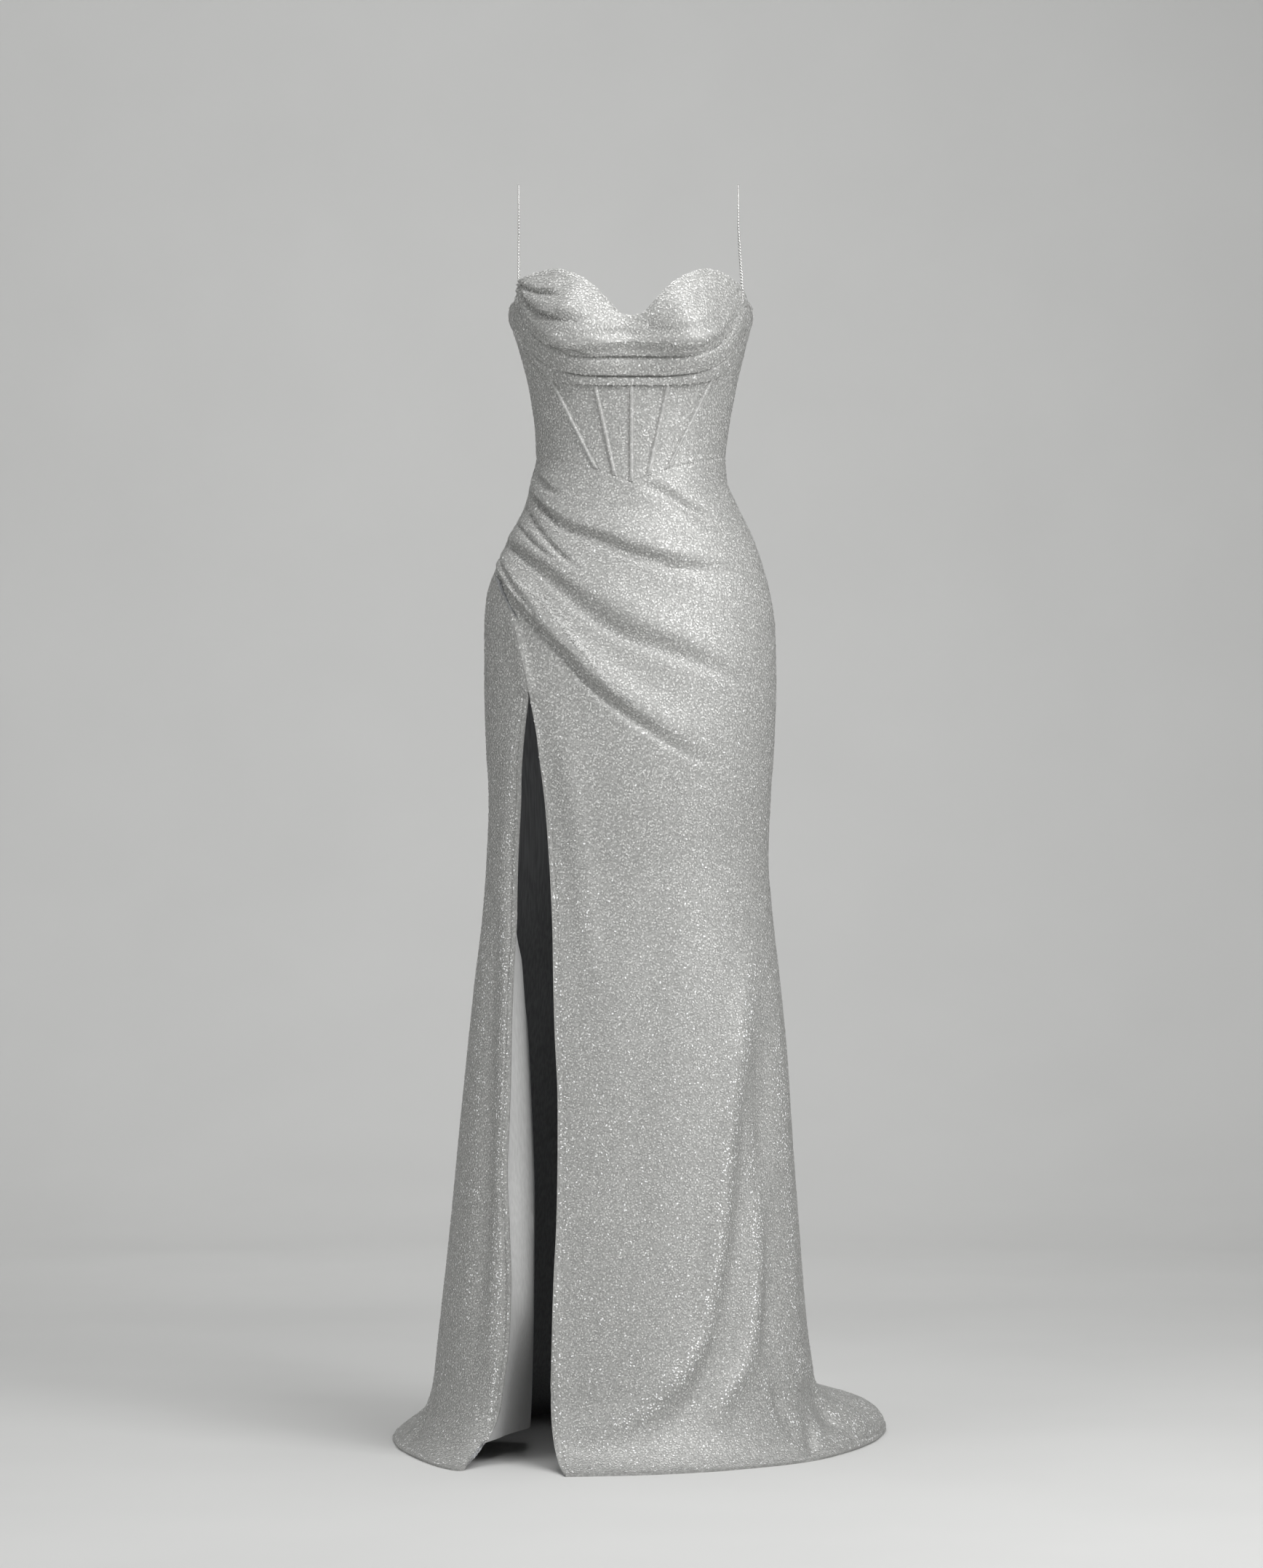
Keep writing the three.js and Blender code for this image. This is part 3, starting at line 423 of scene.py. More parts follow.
neck_curve = curve(NECKLINE["angle"], NECKLINE["height"])
waist_curve = curve(WAIST["x"], WAIST["height"])
inner_seam = curve(CORSET_SEAMS["height"], CORSET_SEAMS["inner"])
outer_seam = curve(CORSET_SEAMS["height"], CORSET_SEAMS["outer"])
front_edge = curve(FRONT_EDGE["height"], FRONT_EDGE["angle"])
side_front_edge = curve(SIDE_FRONT_EDGE["height"], SIDE_FRONT_EDGE["angle"])


def cup_bulge(x, height):
    """How far the cups push out: a bell round each cup's centre, with a sine squared dip between the
    cups."""
    out = np.abs(x) - CUP["x"]
    share = np.sin(np.pi / 2 * np.clip(np.abs(x) / CUP["x"], 0, 1)) ** 2
    dip = CUP["between"] + (1 - CUP["between"]) * share
    across = np.where(out > 0, np.exp(-((out / CUP["outward"]) ** 2)), dip)
    fall = height - CUP["height"]
    reach = np.where(fall > 0, CUP["above"], CUP["below"])
    return CUP["depth"] * across * np.exp(-((fall / reach) ** 2))


def body(angle, height):
    """The outer face of the fitted body: an ellipse in plan, with its own left, right, front and back
    radii, moved forward by the cups."""
    angle, height = np.broadcast_arrays(np.asarray(angle, float), np.asarray(height, float))
    sine, cosine = np.sin(np.radians(angle)), np.cos(np.radians(angle))
    x = sine * np.where(sine > 0, WIDTH_AT["right"](height), WIDTH_AT["left"](height))
    depth = np.where(cosine > 0, WIDTH_AT["front"](height), WIDTH_AT["back"](height))
    cups = np.where(cosine > 0, cup_bulge(x, height) * np.minimum(1, 4 * cosine), 0)
    return np.stack([x, -depth * cosine - cups, height], -1)


def angle_of(x, height):
    """The angle of a point of the front view: the inverse sine of its share of the half width."""
    half = np.where(np.asarray(x) > 0, WIDTH_AT["right"](height), WIDTH_AT["left"](height))
    return np.degrees(np.arcsin(np.clip(x / half, -1, 1)))


def foot(angle, t):
    """The skirt below its bend: a cubic Bezier curve from the wall at t 0, past a knee and a crest, to
    the rim at t 1. The train's creases sink it by bells in the angle times a sine in t."""
    angle, t = np.broadcast_arrays(np.asarray(angle, float), np.asarray(t, float))
    around = (angle - HEM_START) % 360 + HEM_START
    wall, knee = body(angle, BEND_HEIGHT), body(angle, HEM_AT["knee"](around))
    rim = np.stack([HEM_AT["x"](around), HEM_AT["y"](around), HEM_AT["lift"](around) + FLOOR_LIFT], -1)
    crest = knee + (rim - knee) * HEM_AT["reach"](around)[..., None]
    crest[..., 2] = np.maximum(HEM_AT["crest"](around), rim[..., 2])
    crease = np.zeros_like(around)
    for at, depth, width in zip(*TRAIN_CREASES.values()):
        crease += depth * np.exp(-(((around - at) / width) ** 2))
    k = t[..., None]
    point = wall * (1 - k) ** 3 + knee * 3 * k * (1 - k) ** 2 + crest * 3 * k * k * (1 - k) + rim * k**3
    sunk = point[..., 2] - crease * np.sin(np.pi * t) * FLOOR_SPLAY
    point[..., 2] = np.maximum(sunk, FLOOR_LIFT)
    return point


def spline(points, count):
    """A smooth path through given points: a cubic curve in each coordinate over the chord length."""
    points = np.asarray(points, float)
    chord = np.concatenate([[0], np.cumsum(np.linalg.norm(np.diff(points, axis=0), axis=1))])
    at = np.linspace(0, chord[-1], count)
    return np.stack([curve(chord, points[:, k])(at) for k in range(points.shape[1])], -1)


def nearest(path, x, height):
    """The way from points of the front view to a path: the distance, which is positive on the left of the
    path as it runs, and the share of the path at its nearest point."""
    line = spline(path, FOLD_POINTS)
    best = np.full(np.broadcast(x, height).shape, np.inf)
    side, along = np.ones(best.shape), np.zeros(best.shape)
    for i in range(FOLD_POINTS - 1):
        (ax, az), (bx, bz) = line[i], line[i + 1]
        dx, dz = bx - ax, bz - az
        t = np.clip(((x - ax) * dx + (height - az) * dz) / (dx * dx + dz * dz), 0, 1)
        distance = np.hypot(x - ax - t * dx, height - az - t * dz)
        near = distance < best
        best = np.where(near, distance, best)
        side = np.where(near, np.where(dx * (height - az) - dz * (x - ax) >= 0, 1, -1), side)
        along = np.where(near, (i + t) / (FOLD_POINTS - 1), along)
    return best * side, along


def gather_relief(folds, x, height):
    """Relief of gathered folds. From the crease the cloth rises as a smoothstep to the crest above it,
    and falls off as a wide bell beyond the crest. Below the crease it comes back as a narrow bell."""
    total = np.zeros(np.broadcast(x, height).shape)
    for fold in folds:
        reach, along = nearest(fold["path"], x, height)
        crest = np.interp(along, CREST_PLACES, fold["crest"])
        up = reach / crest
        rise = -fold["depth"] + (fold["depth"] + fold["height"]) * smoothstep(up, 0, 1)
        beyond = fold["height"] * np.exp(-(((reach - crest) / (0.5 * crest + CREST_TAIL)) ** 2))
        below = -fold["depth"] * np.exp(-((reach / (CREASE_BELL[0] + CREASE_BELL[1] * crest)) ** 2))
        shape = np.where(up > 1, beyond, np.where(up > 0, rise, below))
        total += shape * smoothstep(along, *GATHER_START) * (1 - smoothstep(along, *fold["fade"]))
    return total


def groove_relief(folds, x, height):
    """Relief of bell-shaped grooves. They fade in over their first fifth and out over their last
    quarter."""
    total = np.zeros(np.broadcast(x, height).shape)
    for fold in folds:
        reach, along = nearest(fold["path"], x, height)
        fade = smoothstep(along, *GROOVE_START) * (1 - smoothstep(along, *GROOVE_END))
        total -= fold["depth"] * np.exp(-((reach / fold["width"]) ** 2)) * fade
    return total


def normals(grid):
    """Unit normals of a grid whose rows run down and whose columns run right, from its central
    differences."""
    right = np.gradient(grid, axis=1)
    down = np.gradient(grid, axis=0)
    normal = np.cross(down, right)
    return normal / np.maximum(np.linalg.norm(normal, axis=-1, keepdims=True), 1e-9)


def lengths(grid, axis):
    """Arc length from the first row or column to each point."""
    steps = np.linalg.norm(np.diff(grid, axis=axis), axis=-1)
    first = np.zeros_like(np.take(steps, [0], axis=axis))
    return np.concatenate([first, np.cumsum(steps, axis=axis)], axis=axis)


def shares(count, length, near=(1, 2.5, 5)):
    """Even shares from 0 to 1, with extra ones a few millimetres from both ends of a given length."""
    ends = np.array(near) / length
    return np.unique(np.concatenate([np.linspace(0, 1, count + 1), ends, 1 - ends]))


def inset_angle(surface, first, last, share, level):
    """Angles between two edges, each moved in by half a seam: the gap over the surface's run for each
    degree."""
    angle = first + (last - first) * share
    run = np.linalg.norm(surface(angle + 0.5, level) - surface(angle - 0.5, level), axis=-1)
    inset = SEAM / 2 / np.maximum(run, 1e-6)
    return (first + inset) + (last - first - 2 * inset) * share


# The profile of an edge, by distance from it: a seam is drawn in, and a hem is turned under and stitched
# down.
SEAM_DIP, SEAM_REACH = 0.6, 1.8
HEM_RISE, HEM_WIDTH, STITCH_DIP, STITCH_REACH = 0.8, 7, 0.8, 1
WRAP_RISE, WRAP_REACH, WRAP_END = 3.5, 14, (925, 985)


def edge_relief(grid, edges):
    """Relief along the edges: minus a bell at a seam, and a step up with a stitched groove at a turned hem.
    Above the slit a hem is the wrap's folded edge, a wide bell."""
    across, down = lengths(grid, 1), lengths(grid, 0)
    distance = {
        "left": across,
        "right": across[:, -1:] - across,
        "top": down,
        "bottom": down[-1:] - down,
    }
    relief = np.zeros(grid.shape[:2])
    for side, kind in edges.items():
        s = distance[side]
        if kind == "seam":
            relief -= SEAM_DIP * np.exp(-((s / SEAM_REACH) ** 2))
        else:
            sewn = HEM_RISE * (1 - smoothstep(s, HEM_WIDTH - 1, HEM_WIDTH + 1))
            sewn -= STITCH_DIP * np.exp(-(((s - HEM_WIDTH) / STITCH_REACH) ** 2))
            folded = WRAP_RISE * np.exp(-((s / WRAP_REACH) ** 2))
            folded *= 1 - smoothstep(grid[..., 2], *WRAP_END)
            relief += np.where(grid[..., 2] > SLIT_TOP, folded, sewn)
    return relief


def mesh_object(name, points, loops, starts, materials, indices=None, smooth=True):
    """A mesh object at the origin from arrays: points in millimetres above the floor, each face's corners
    one after another, and where each face's corners start."""
    mesh = bpy.data.meshes.new(name)
    placed = np.array(points, float).reshape(-1, 3) * MM
    placed[:, 2] -= SHOULDER_HEIGHT * MM
    mesh.vertices.add(len(placed))
    mesh.vertices.foreach_set("co", placed.astype(np.float32).ravel())
    mesh.loops.add(len(loops))
    mesh.loops.foreach_set("vertex_index", np.asarray(loops, np.int32))
    mesh.polygons.add(len(starts))
    mesh.polygons.foreach_set("loop_start", np.asarray(starts, np.int32))
    if indices is not None:
        mesh.polygons.foreach_set("material_index", np.asarray(indices, np.int32))
    mesh.polygons.foreach_set("use_smooth", np.full(len(starts), smooth))
    for material in materials:
        mesh.materials.append(material)
    mesh.update(calc_edges=True)
    mesh.validate()
    made = bpy.data.objects.new(name, mesh)
    bpy.context.scene.collection.objects.link(made)
    return made


SHARP_ANGLE = 40  # degrees between two faces, above which their edge stays sharp


def wall_object(name, outer, inner, materials):
    """A closed wall between two grids of the same size, with quads on both faces and round the rim. The
    first material is on the outside and the rim, and the second on the inside."""
    rows, columns = outer.shape[:2]
    index = np.arange(rows * columns).reshape(rows, columns)
    back = index + rows * columns
    a, b, c, d = index[:-1, :-1], index[1:, :-1], index[1:, 1:], index[:-1, 1:]
    front = np.stack([a, b, c, d], -1).reshape(-1, 4)
    a, b, c, d = back[:-1, :-1], back[:-1, 1:], back[1:, 1:], back[1:, :-1]
    behind = np.stack([a, b, c, d], -1).reshape(-1, 4)
    top = np.stack([index[0, :-1], index[0, 1:], back[0, 1:], back[0, :-1]], -1)
    bottom = np.stack([index[-1, :-1], back[-1, :-1], back[-1, 1:], index[-1, 1:]], -1)
    left = np.stack([index[:-1, 0], back[:-1, 0], back[1:, 0], index[1:, 0]], -1)
    right = np.stack([index[:-1, -1], index[1:, -1], back[1:, -1], back[:-1, -1]], -1)
    quads = np.concatenate([front, top, bottom, left, right, behind])
    which = np.zeros(len(quads), np.int32)
    which[len(quads) - len(behind) :] = 1
    points = np.concatenate([outer.reshape(-1, 3), inner.reshape(-1, 3)])
    starts = np.arange(len(quads)) * 4
    made = mesh_object(name, points, quads.ravel(), starts, materials, which)
    made.data.set_sharp_from_angle(angle=math.radians(SHARP_ANGLE))
    return made


def cloth_object(name, base, relief, edges, sizes, materials):
    """A cloth panel: the base grid raised by its relief along its normals, and a wall of the cloth's
    thickness behind it. Gives the object and its outer grid."""
    outer = base + normals(base) * (relief + edge_relief(base, edges))[..., None]
    outer[..., 2] = np.maximum(outer[..., 2], FLOOR_LIFT)
    inner = outer - normals(outer) * (sizes.cloth / MM)
    inner[..., 2] = np.maximum(inner[..., 2], 0)
    inner[-1, :, 2] = np.where(outer[-1, :, 2] < 2 * FLOOR_LIFT, 0, inner[-1, :, 2])
    return wall_object(name, outer, inner, materials), outer


# A sequin is a long flat hexagon, like a grain of rice: its corners along and across.
SEQUIN_CORNERS = np.array([[1, 0], [0.58, 0.95], [-0.58, 0.95], [-1, 0], [-0.58, -0.95], [0.58, -0.95]])
# Painted highlights: some sequins are pure white, standing in for sparkles where convex cloth low down
# catches the light.
PAINTED_GLINT_LOW, PAINTED_GLINT_HIGH = 900, 350  # painted glints grow in number from the first height down to the second
PAINTED_GLINT_FLAT, PAINTED_GLINT_CONVEX = (0.001, 0.022), (0.008, 0.26)  # the painted glints' share high up, and what it gains low down
PAINTED_GLINT_BEND = (0.004, 0.03)  # 1/mm of convexity over which the second share adds to the first, as convex folds catch the light
SEQUIN_SMALL, SEQUIN_RANGE, LOW_SHRINK = 0.85, 0.3, 0.14  # shares of a sequin's size
JITTER = 0.9  # share of its part of the cloth that a sequin moves in


BLOCK = 4  # cells of the grid on a side of a block that sequins are laid out in
SEAMED = {"left": "seam", "right": "seam", "top": "seam", "bottom": "seam"}
SEQUIN_MARGIN = {"seam": 0.3, "hem": 1.6}  # mm from an edge to the middle of the nearest sequin


def blend(values, row, column):
    """A grid's values between its points, mixed from the four around each fractional row and column."""
    i = np.clip(row.astype(int), 0, values.shape[0] - 2)
    j = np.clip(column.astype(int), 0, values.shape[1] - 2)
    v, u = (row - i)[:, None], (column - j)[:, None]
    top = values[i, j] * (1 - u) + values[i, j + 1] * u
    return top * (1 - v) + (values[i + 1, j] * (1 - u) + values[i + 1, j + 1] * u) * v


def scatter(grid, spacing, margins, rng):
    """Jittered places on a grid, as fractional rows and columns. Each block is cut into so many by so
    many parts that a part's area is about the spacing squared, and each part holds one place. None lies
    nearer to an edge than that edge's margin."""
    rows = np.unique(np.append(np.arange(0, grid.shape[0] - 1, BLOCK), grid.shape[0] - 1))
    columns = np.unique(np.append(np.arange(0, grid.shape[1] - 1, BLOCK), grid.shape[1] - 1))
    corner = grid[rows][:, columns]
    u_side = (corner[:-1, 1:] - corner[:-1, :-1] + corner[1:, 1:] - corner[1:, :-1]) / 2
    v_side = (corner[1:, :-1] - corner[:-1, :-1] + corner[1:, 1:] - corner[:-1, 1:]) / 2
    wide = np.linalg.norm(u_side, axis=-1)
    tall = np.linalg.norm(np.cross(u_side, v_side), axis=-1) / np.maximum(wide, 0.01)
    nu = np.floor(wide / spacing + rng.random(wide.shape)).astype(int).ravel()
    nv = np.floor(tall / spacing + rng.random(tall.shape)).astype(int).ravel()
    block = np.repeat(np.arange(nu.size), nu * nv)
    first = np.cumsum(nu * nv) - nu * nv
    k = np.arange(block.size) - first[block]
    line = k // nu[block]
    shift = 0.5 * (line % 2) - 0.25
    u = ((k % nu[block]) + 0.5 + shift + JITTER * (rng.random(block.size) - 0.5)) / nu[block]
    v = (line + 0.5 + JITTER * (rng.random(block.size) - 0.5)) / nv[block]
    i, j = np.unravel_index(block, wide.shape)
    row = np.clip(rows[i] + v * (rows[i + 1] - rows[i]), 0, grid.shape[0] - 1)
    column = np.clip(columns[j] + u * (columns[j + 1] - columns[j]), 0, grid.shape[1] - 1)
    across, down = lengths(grid, 1), lengths(grid, 0)
    reach = [across, across[:, -1:] - across, down, down[-1:] - down]
    kept = np.ones(len(row), bool)
    for distance, margin in zip(reach, margins):
        kept &= blend(distance[..., None], row, column)[:, 0] >= margin
    return row[kept], column[kept]


def bend(grid):
    """How convex a grid is at each point, in 1/mm: minus the normal's part of its second differences."""
    total = np.zeros(grid.shape[:2])
    normal = normals(grid)
    for axis in (0, 1):
        step = np.maximum(np.linalg.norm(np.gradient(grid, axis=axis), axis=-1), 0.5)
        second = np.gradient(np.gradient(grid, axis=axis) / step[..., None], axis=axis) / step[..., None]
        total -= (second * normal).sum(-1)
    return total


def sequin_object(name, grid, sizes, material, seed, edges=SEAMED):
    """Sequins sewn on cloth, as one joined mesh. Each lies on the cloth at a random turn and a small
    random tilt. Its attribute tone is random from 0 to 0.9, or 1 on a painted glint: a pure white sequin
    that stands in for a sparkle of light, likelier on convex cloth low down."""
    rng = np.random.default_rng(seed)
    margins = [SEQUIN_MARGIN[edges.get(side, "seam")] for side in ("left", "right", "top", "bottom")]
    row, column = scatter(grid, sizes.sequin_spacing / MM, margins, rng)
    place, normal = blend(grid, row, column), blend(normals(grid), row, column)
    right = blend(np.gradient(grid, axis=1), row, column)
    convex = blend(bend(grid)[..., None], row, column)[:, 0]
    normal /= np.linalg.norm(normal, axis=-1, keepdims=True)
    right /= np.maximum(np.linalg.norm(right, axis=-1, keepdims=True), 1e-9)
    count = len(place)
    forward = np.cross(normal, right)
    lean = rng.random(count) * 2 * np.pi
    tilt = np.abs(rng.normal(0, math.tan(sizes.sequin_tilt), count)).clip(0, 0.5)[:, None]
    axis = normal + tilt * (np.cos(lean)[:, None] * right + np.sin(lean)[:, None] * forward)
    axis /= np.linalg.norm(axis, axis=-1, keepdims=True)
    turn = rng.random(count) * 2 * np.pi
    along = np.cos(turn)[:, None] * right + np.sin(turn)[:, None] * forward
    along -= axis * (along * axis).sum(-1, keepdims=True)
    along /= np.linalg.norm(along, axis=-1, keepdims=True)
    across = np.cross(axis, along)
    low = 1 - smoothstep(place[:, 2], PAINTED_GLINT_HIGH, PAINTED_GLINT_LOW)
    chance = PAINTED_GLINT_FLAT[0] + PAINTED_GLINT_FLAT[1] * low
    chance += (PAINTED_GLINT_CONVEX[0] + PAINTED_GLINT_CONVEX[1] * low) * smoothstep(convex, *PAINTED_GLINT_BEND)
    # Painted highlights: these sequins become pure white, standing in for sparkles of light.
    painted_glint = rng.random(count) < chance
    size = (SEQUIN_SMALL + SEQUIN_RANGE * rng.random(count)) * (1 - LOW_SHRINK * low)
    half = np.array([sizes.sequin_length / 2, sizes.sequin_width / 2]) / MM
    corners = SEQUIN_CORNERS * half
    centre = place + normal * (sizes.sequin_lift / MM)
    points = centre[:, None] + size[:, None, None] * (
        corners[None, :, 0:1] * along[:, None] + corners[None, :, 1:2] * across[:, None]
    )
    points[..., 2] = np.maximum(points[..., 2], 0.1)
    corner_count = len(SEQUIN_CORNERS)
    loops = np.arange(count * corner_count)
    made = mesh_object(name, points, loops, loops[::corner_count], [material], smooth=False)
    # Tone 1 is a painted glint's white; the other sequins get a random tone.
    tone = np.where(painted_glint, 1, 0.9 * rng.random(count))
    tone = np.repeat(tone, corner_count).astype(np.float32)
    made.data.attributes.new("tone", "FLOAT", "POINT").data.foreach_set("value", tone)
    return made


def linear(code):
    """An sRGB hex colour as the linear colour that the shaders take."""
    values = [int(code[k : k + 2], 16) / 255 for k in (1, 3, 5)]
    return [v / 12.92 if v <= 0.04045 else ((v + 0.055) / 1.055) ** 2.4 for v in values] + [1.0]


def add_node(tree, kind, inputs=None, **settings):
    """Adds one node with its settings. An input that is another node's socket is linked, and the rest are
    values."""
    made = tree.nodes.new(kind)
    for key, value in settings.items():
        setattr(made, key, value)
    for key, value in (inputs or {}).items():
        if isinstance(value, bpy.types.NodeSocket):
            tree.links.new(value, made.inputs[key])
        else:
            made.inputs[key].default_value = value
    return made


def ramp(tree, value, stops):
    """A colour ramp over a value, from pairs of a position and an sRGB hex colour."""
    made = add_node(tree, "ShaderNodeValToRGB", {"Fac": value})
    elements = made.color_ramp.elements
    while len(elements) < len(stops):
        elements.new(0.5)
    for element, (position, code) in zip(elements, stops):
        element.position = position
        element.color = linear(code)
    return made.outputs["Color"]


def place_of(tree):
    """The shaded point in the object's own coordinates."""
    return add_node(tree, "ShaderNodeTexCoord").outputs["Object"]


def noise(tree, scale, squash=1.0, **inputs):
    """Noise with a scale for each metre. A squash under 1 draws it out along the height."""
    place = place_of(tree)
    if squash < 1:
        place = add_node(tree, "ShaderNodeMapping", {"Vector": place, "Scale": (1.0, 1.0, squash)})
        place = place.outputs["Vector"]
    return add_node(tree, "ShaderNodeTexNoise", {"Vector": place, "Scale": scale, **inputs}).outputs["Fac"]


def bump(tree, height, strength, distance):
    """A normal that leans with a height."""
    inputs = {"Height": height, "Strength": strength, "Distance": distance}
    return add_node(tree, "ShaderNodeBump", inputs).outputs["Normal"]


def finish(name, shade):
    """A material, made the first time that its name is asked for. From its node tree, shade gives the
    inputs of its one shader."""
    material = bpy.data.materials.get(name)
    if material is None:
        material = bpy.data.materials.new(name)
        material.use_nodes = True
        tree = material.node_tree
        tree.nodes.clear()
        shader = add_node(tree, "ShaderNodeBsdfPrincipled", shade(tree))
        add_node(tree, "ShaderNodeOutputMaterial", {"Surface": shader.outputs["BSDF"]})
    return material


GLITTER_GRAIN = 1.7  # mm between the fine glitter grains of the ground cloth
MOTTLE = 4.5  # mm across the cloth's lighter and darker patches
KNIT_PITCH = 1.6  # mm between ribs of the backing, drawn coarser than the real 0.4 mm so that it shows
SATIN_PITCH = 1.4  # mm between floats of the satin, drawn coarser than the real 0.2 mm so that it shows
TAPE_PITCH = 1.2  # mm between ribs of the zip tape
RIBS_AT_ONE = 20 / (2 * math.pi)  # a wave texture's ribs in a metre, at a scale of 1


def glitter_knit(colours, name="glitter_knit", codes=None):
    """Polyester knit with fine silver glitter bonded to it: a grey ground whose grains catch the light
    one by one. The codes are its dark, middle and light grains."""
    codes = codes or (colours.ground_dark, colours.ground, colours.ground_light)

    def shade(tree):
        scale = 1000 / GLITTER_GRAIN
        grain = add_node(tree, "ShaderNodeTexVoronoi", {"Vector": place_of(tree), "Scale": scale})
        pick = add_node(tree, "ShaderNodeSeparateColor", {"Color": grain.outputs["Color"]})
        mottle = noise(tree, 1000 / MOTTLE, Detail=2.0, Roughness=0.6)
        tone = add_node(tree, "ShaderNodeMath", {0: pick.outputs["Red"], 1: mottle}, operation="MULTIPLY")
        return {
            "Base Color": ramp(tree, tone.outputs[0], list(zip((0.05, 0.3, 0.62), codes))),
            "Metallic": 0.2,
            "Roughness": 0.55,
            "Normal": bump(tree, pick.outputs["Green"], 0.25, 0.0004),
        }

    return finish(name, shade)


def cloth_faces(colours):
    """The outside and the inside of the sequin cloth's ground."""
    return [glitter_knit(colours), knit_backing(colours)]


def glitter_ribbon(colours):
    """The same knit cut as a ribbon and stretched over the boning, where its glitter lies closer and
    lighter."""
    codes = (colours.ground, colours.sequin_dark, colours.sequin_light)
    return glitter_knit(colours, "glitter_ribbon", codes)


def sequin_film(colours):
    """Silver-coated polyester film, cut into sequins: a soft metallic sheen, with pure white sequins as
    painted glints that stand in for sparkles of light.
    """
    codes = (colours.sequin_dark, colours.sequin, colours.sequin_light, colours.painted_glint)

    def shade(tree):
        tone = add_node(tree, "ShaderNodeAttribute", attribute_name="tone").outputs["Fac"]
        # The ramp's last stop is the white of the painted glints.
        colour = ramp(tree, tone, list(zip((0.0, 0.5, 0.9, 0.97), codes)))
        return {"Base Color": colour, "Metallic": 0.2, "Roughness": 0.5}

    return finish("sequin_film", shade)


def knit_backing(colours):
    """The plain inside of the knit: matt grey, with fine ribs down its length."""

    def shade(tree):
        rib = noise(tree, 1000 / KNIT_PITCH, 0.03, Detail=1.0)
        return {
            "Base Color": ramp(tree, rib, [(0.35, colours.backing_dark), (0.65, colours.backing)]),
            "Roughness": 0.85,
            "Sheen Weight": 0.2,
            "Normal": bump(tree, rib, 0.3, 0.0004),
        }

    return finish("knit_backing", shade)


def lining_satin(colours):
    """Polyester satin: smooth, with a soft silky gloss and faint threads down its length."""

    def shade(tree):
        thread = noise(tree, 1000 / SATIN_PITCH, 0.05, Detail=1.0)
        return {
            "Base Color": ramp(tree, thread, [(0.3, colours.lining_dark), (0.7, colours.lining)]),
            "Roughness": 0.38,
            "Sheen Weight": 0.4,
            "Sheen Roughness": 0.5,
            "Normal": bump(tree, thread, 0.15, 0.0003),
        }

    return finish("lining_satin", shade)


def silvered_glass(colours):
    """Silver-lined glass beads: small, smooth and bright."""

    def shade(tree):
        cloud = ramp(tree, noise(tree, 400.0), [(0.35, colours.sequin), (0.65, colours.sequin_light)])
        return {"Base Color": cloud, "Metallic": 0.7, "Roughness": 0.25}

    return finish("silvered_glass", shade)


def plated_zinc(colours):
    """Die-cast zinc with a nickel plate: smooth and bright, with faint handling marks."""

    def shade(tree):
        marks = noise(tree, 900.0, Detail=3.0)
        rough = add_node(tree, "ShaderNodeMapRange", {"Value": marks, "To Min": 0.18, "To Max": 0.38})
        return {"Base Color": linear(colours.metal), "Metallic": 1.0, "Roughness": rough.outputs["Result"]}

    return finish("plated_zinc", shade)


def woven_tape(colours):
    """Woven polyester zip tape: matt, with a fine rib."""

    def shade(tree):
        inputs = {"Vector": place_of(tree), "Scale": 1000 / TAPE_PITCH / RIBS_AT_ONE}
        rib = add_node(tree, "ShaderNodeTexWave", inputs, bands_direction="Z")
        normal = bump(tree, rib.outputs["Fac"], 0.4, 0.0002)
        return {"Base Color": linear(colours.tape), "Roughness": 0.8, "Normal": normal}

    return finish("woven_tape", shade)


def studio_paper(colours):
    """Matt backdrop paper in a sweep from the floor up the wall."""

    def shade(tree):
        tooth = noise(tree, 3.0, Detail=2.0)
        colour = ramp(tree, tooth, [(0.3, colours.paper_dark), (0.7, colours.paper)])
        return {"Base Color": colour, "Roughness": 0.9}

    return finish("studio_paper", shade)


def length_property(name, description, default):
    """A length in metres, shown in the scene's unit."""
    return bpy.props.FloatProperty(
        name=name,
        description=description,
        default=default,
        min=0.0,
        max=0.1,
        subtype="DISTANCE",
        unit="LENGTH",
        precision=5,
    )


def colour_property(name, description, default):
    """A colour as an sRGB hex code."""
    return bpy.props.StringProperty(name=name, description=description, default=default, maxlen=7)


class DressSizes(bpy.types.PropertyGroup):
    """Sizes of the cloth, its sequins and the beads."""

    cloth: length_property("Cloth", "Thickness of the sequin cloth with its backing", 0.002)
    satin: length_property("Satin", "Thickness of the lining", 0.0012)
    sequin_length: length_property("Sequin length", "Length of a sequin", 0.003)
    sequin_width: length_property("Sequin width", "Width of a sequin", 0.00165)
    sequin_lift: length_property("Sequin lift", "Height of the sequins over the cloth", 0.0004)
    sequin_spacing: length_property("Sequin spacing", "Distance between sequins", 0.00305)
    sequin_tilt: bpy.props.FloatProperty(
        name="Sequin tilt",
        description="How far a sequin typically leans",
        default=math.radians(5),
        subtype="ANGLE",
        unit="ROTATION",
    )
    bead: length_property("Strap bead", "Diameter of a strap's beads", 0.0023)
    bead_pitch: length_property("Bead pitch", "Distance between a strap's beads", 0.0034)
    bone_width: length_property("Boning channel", "Width of a boning channel", 0.006)


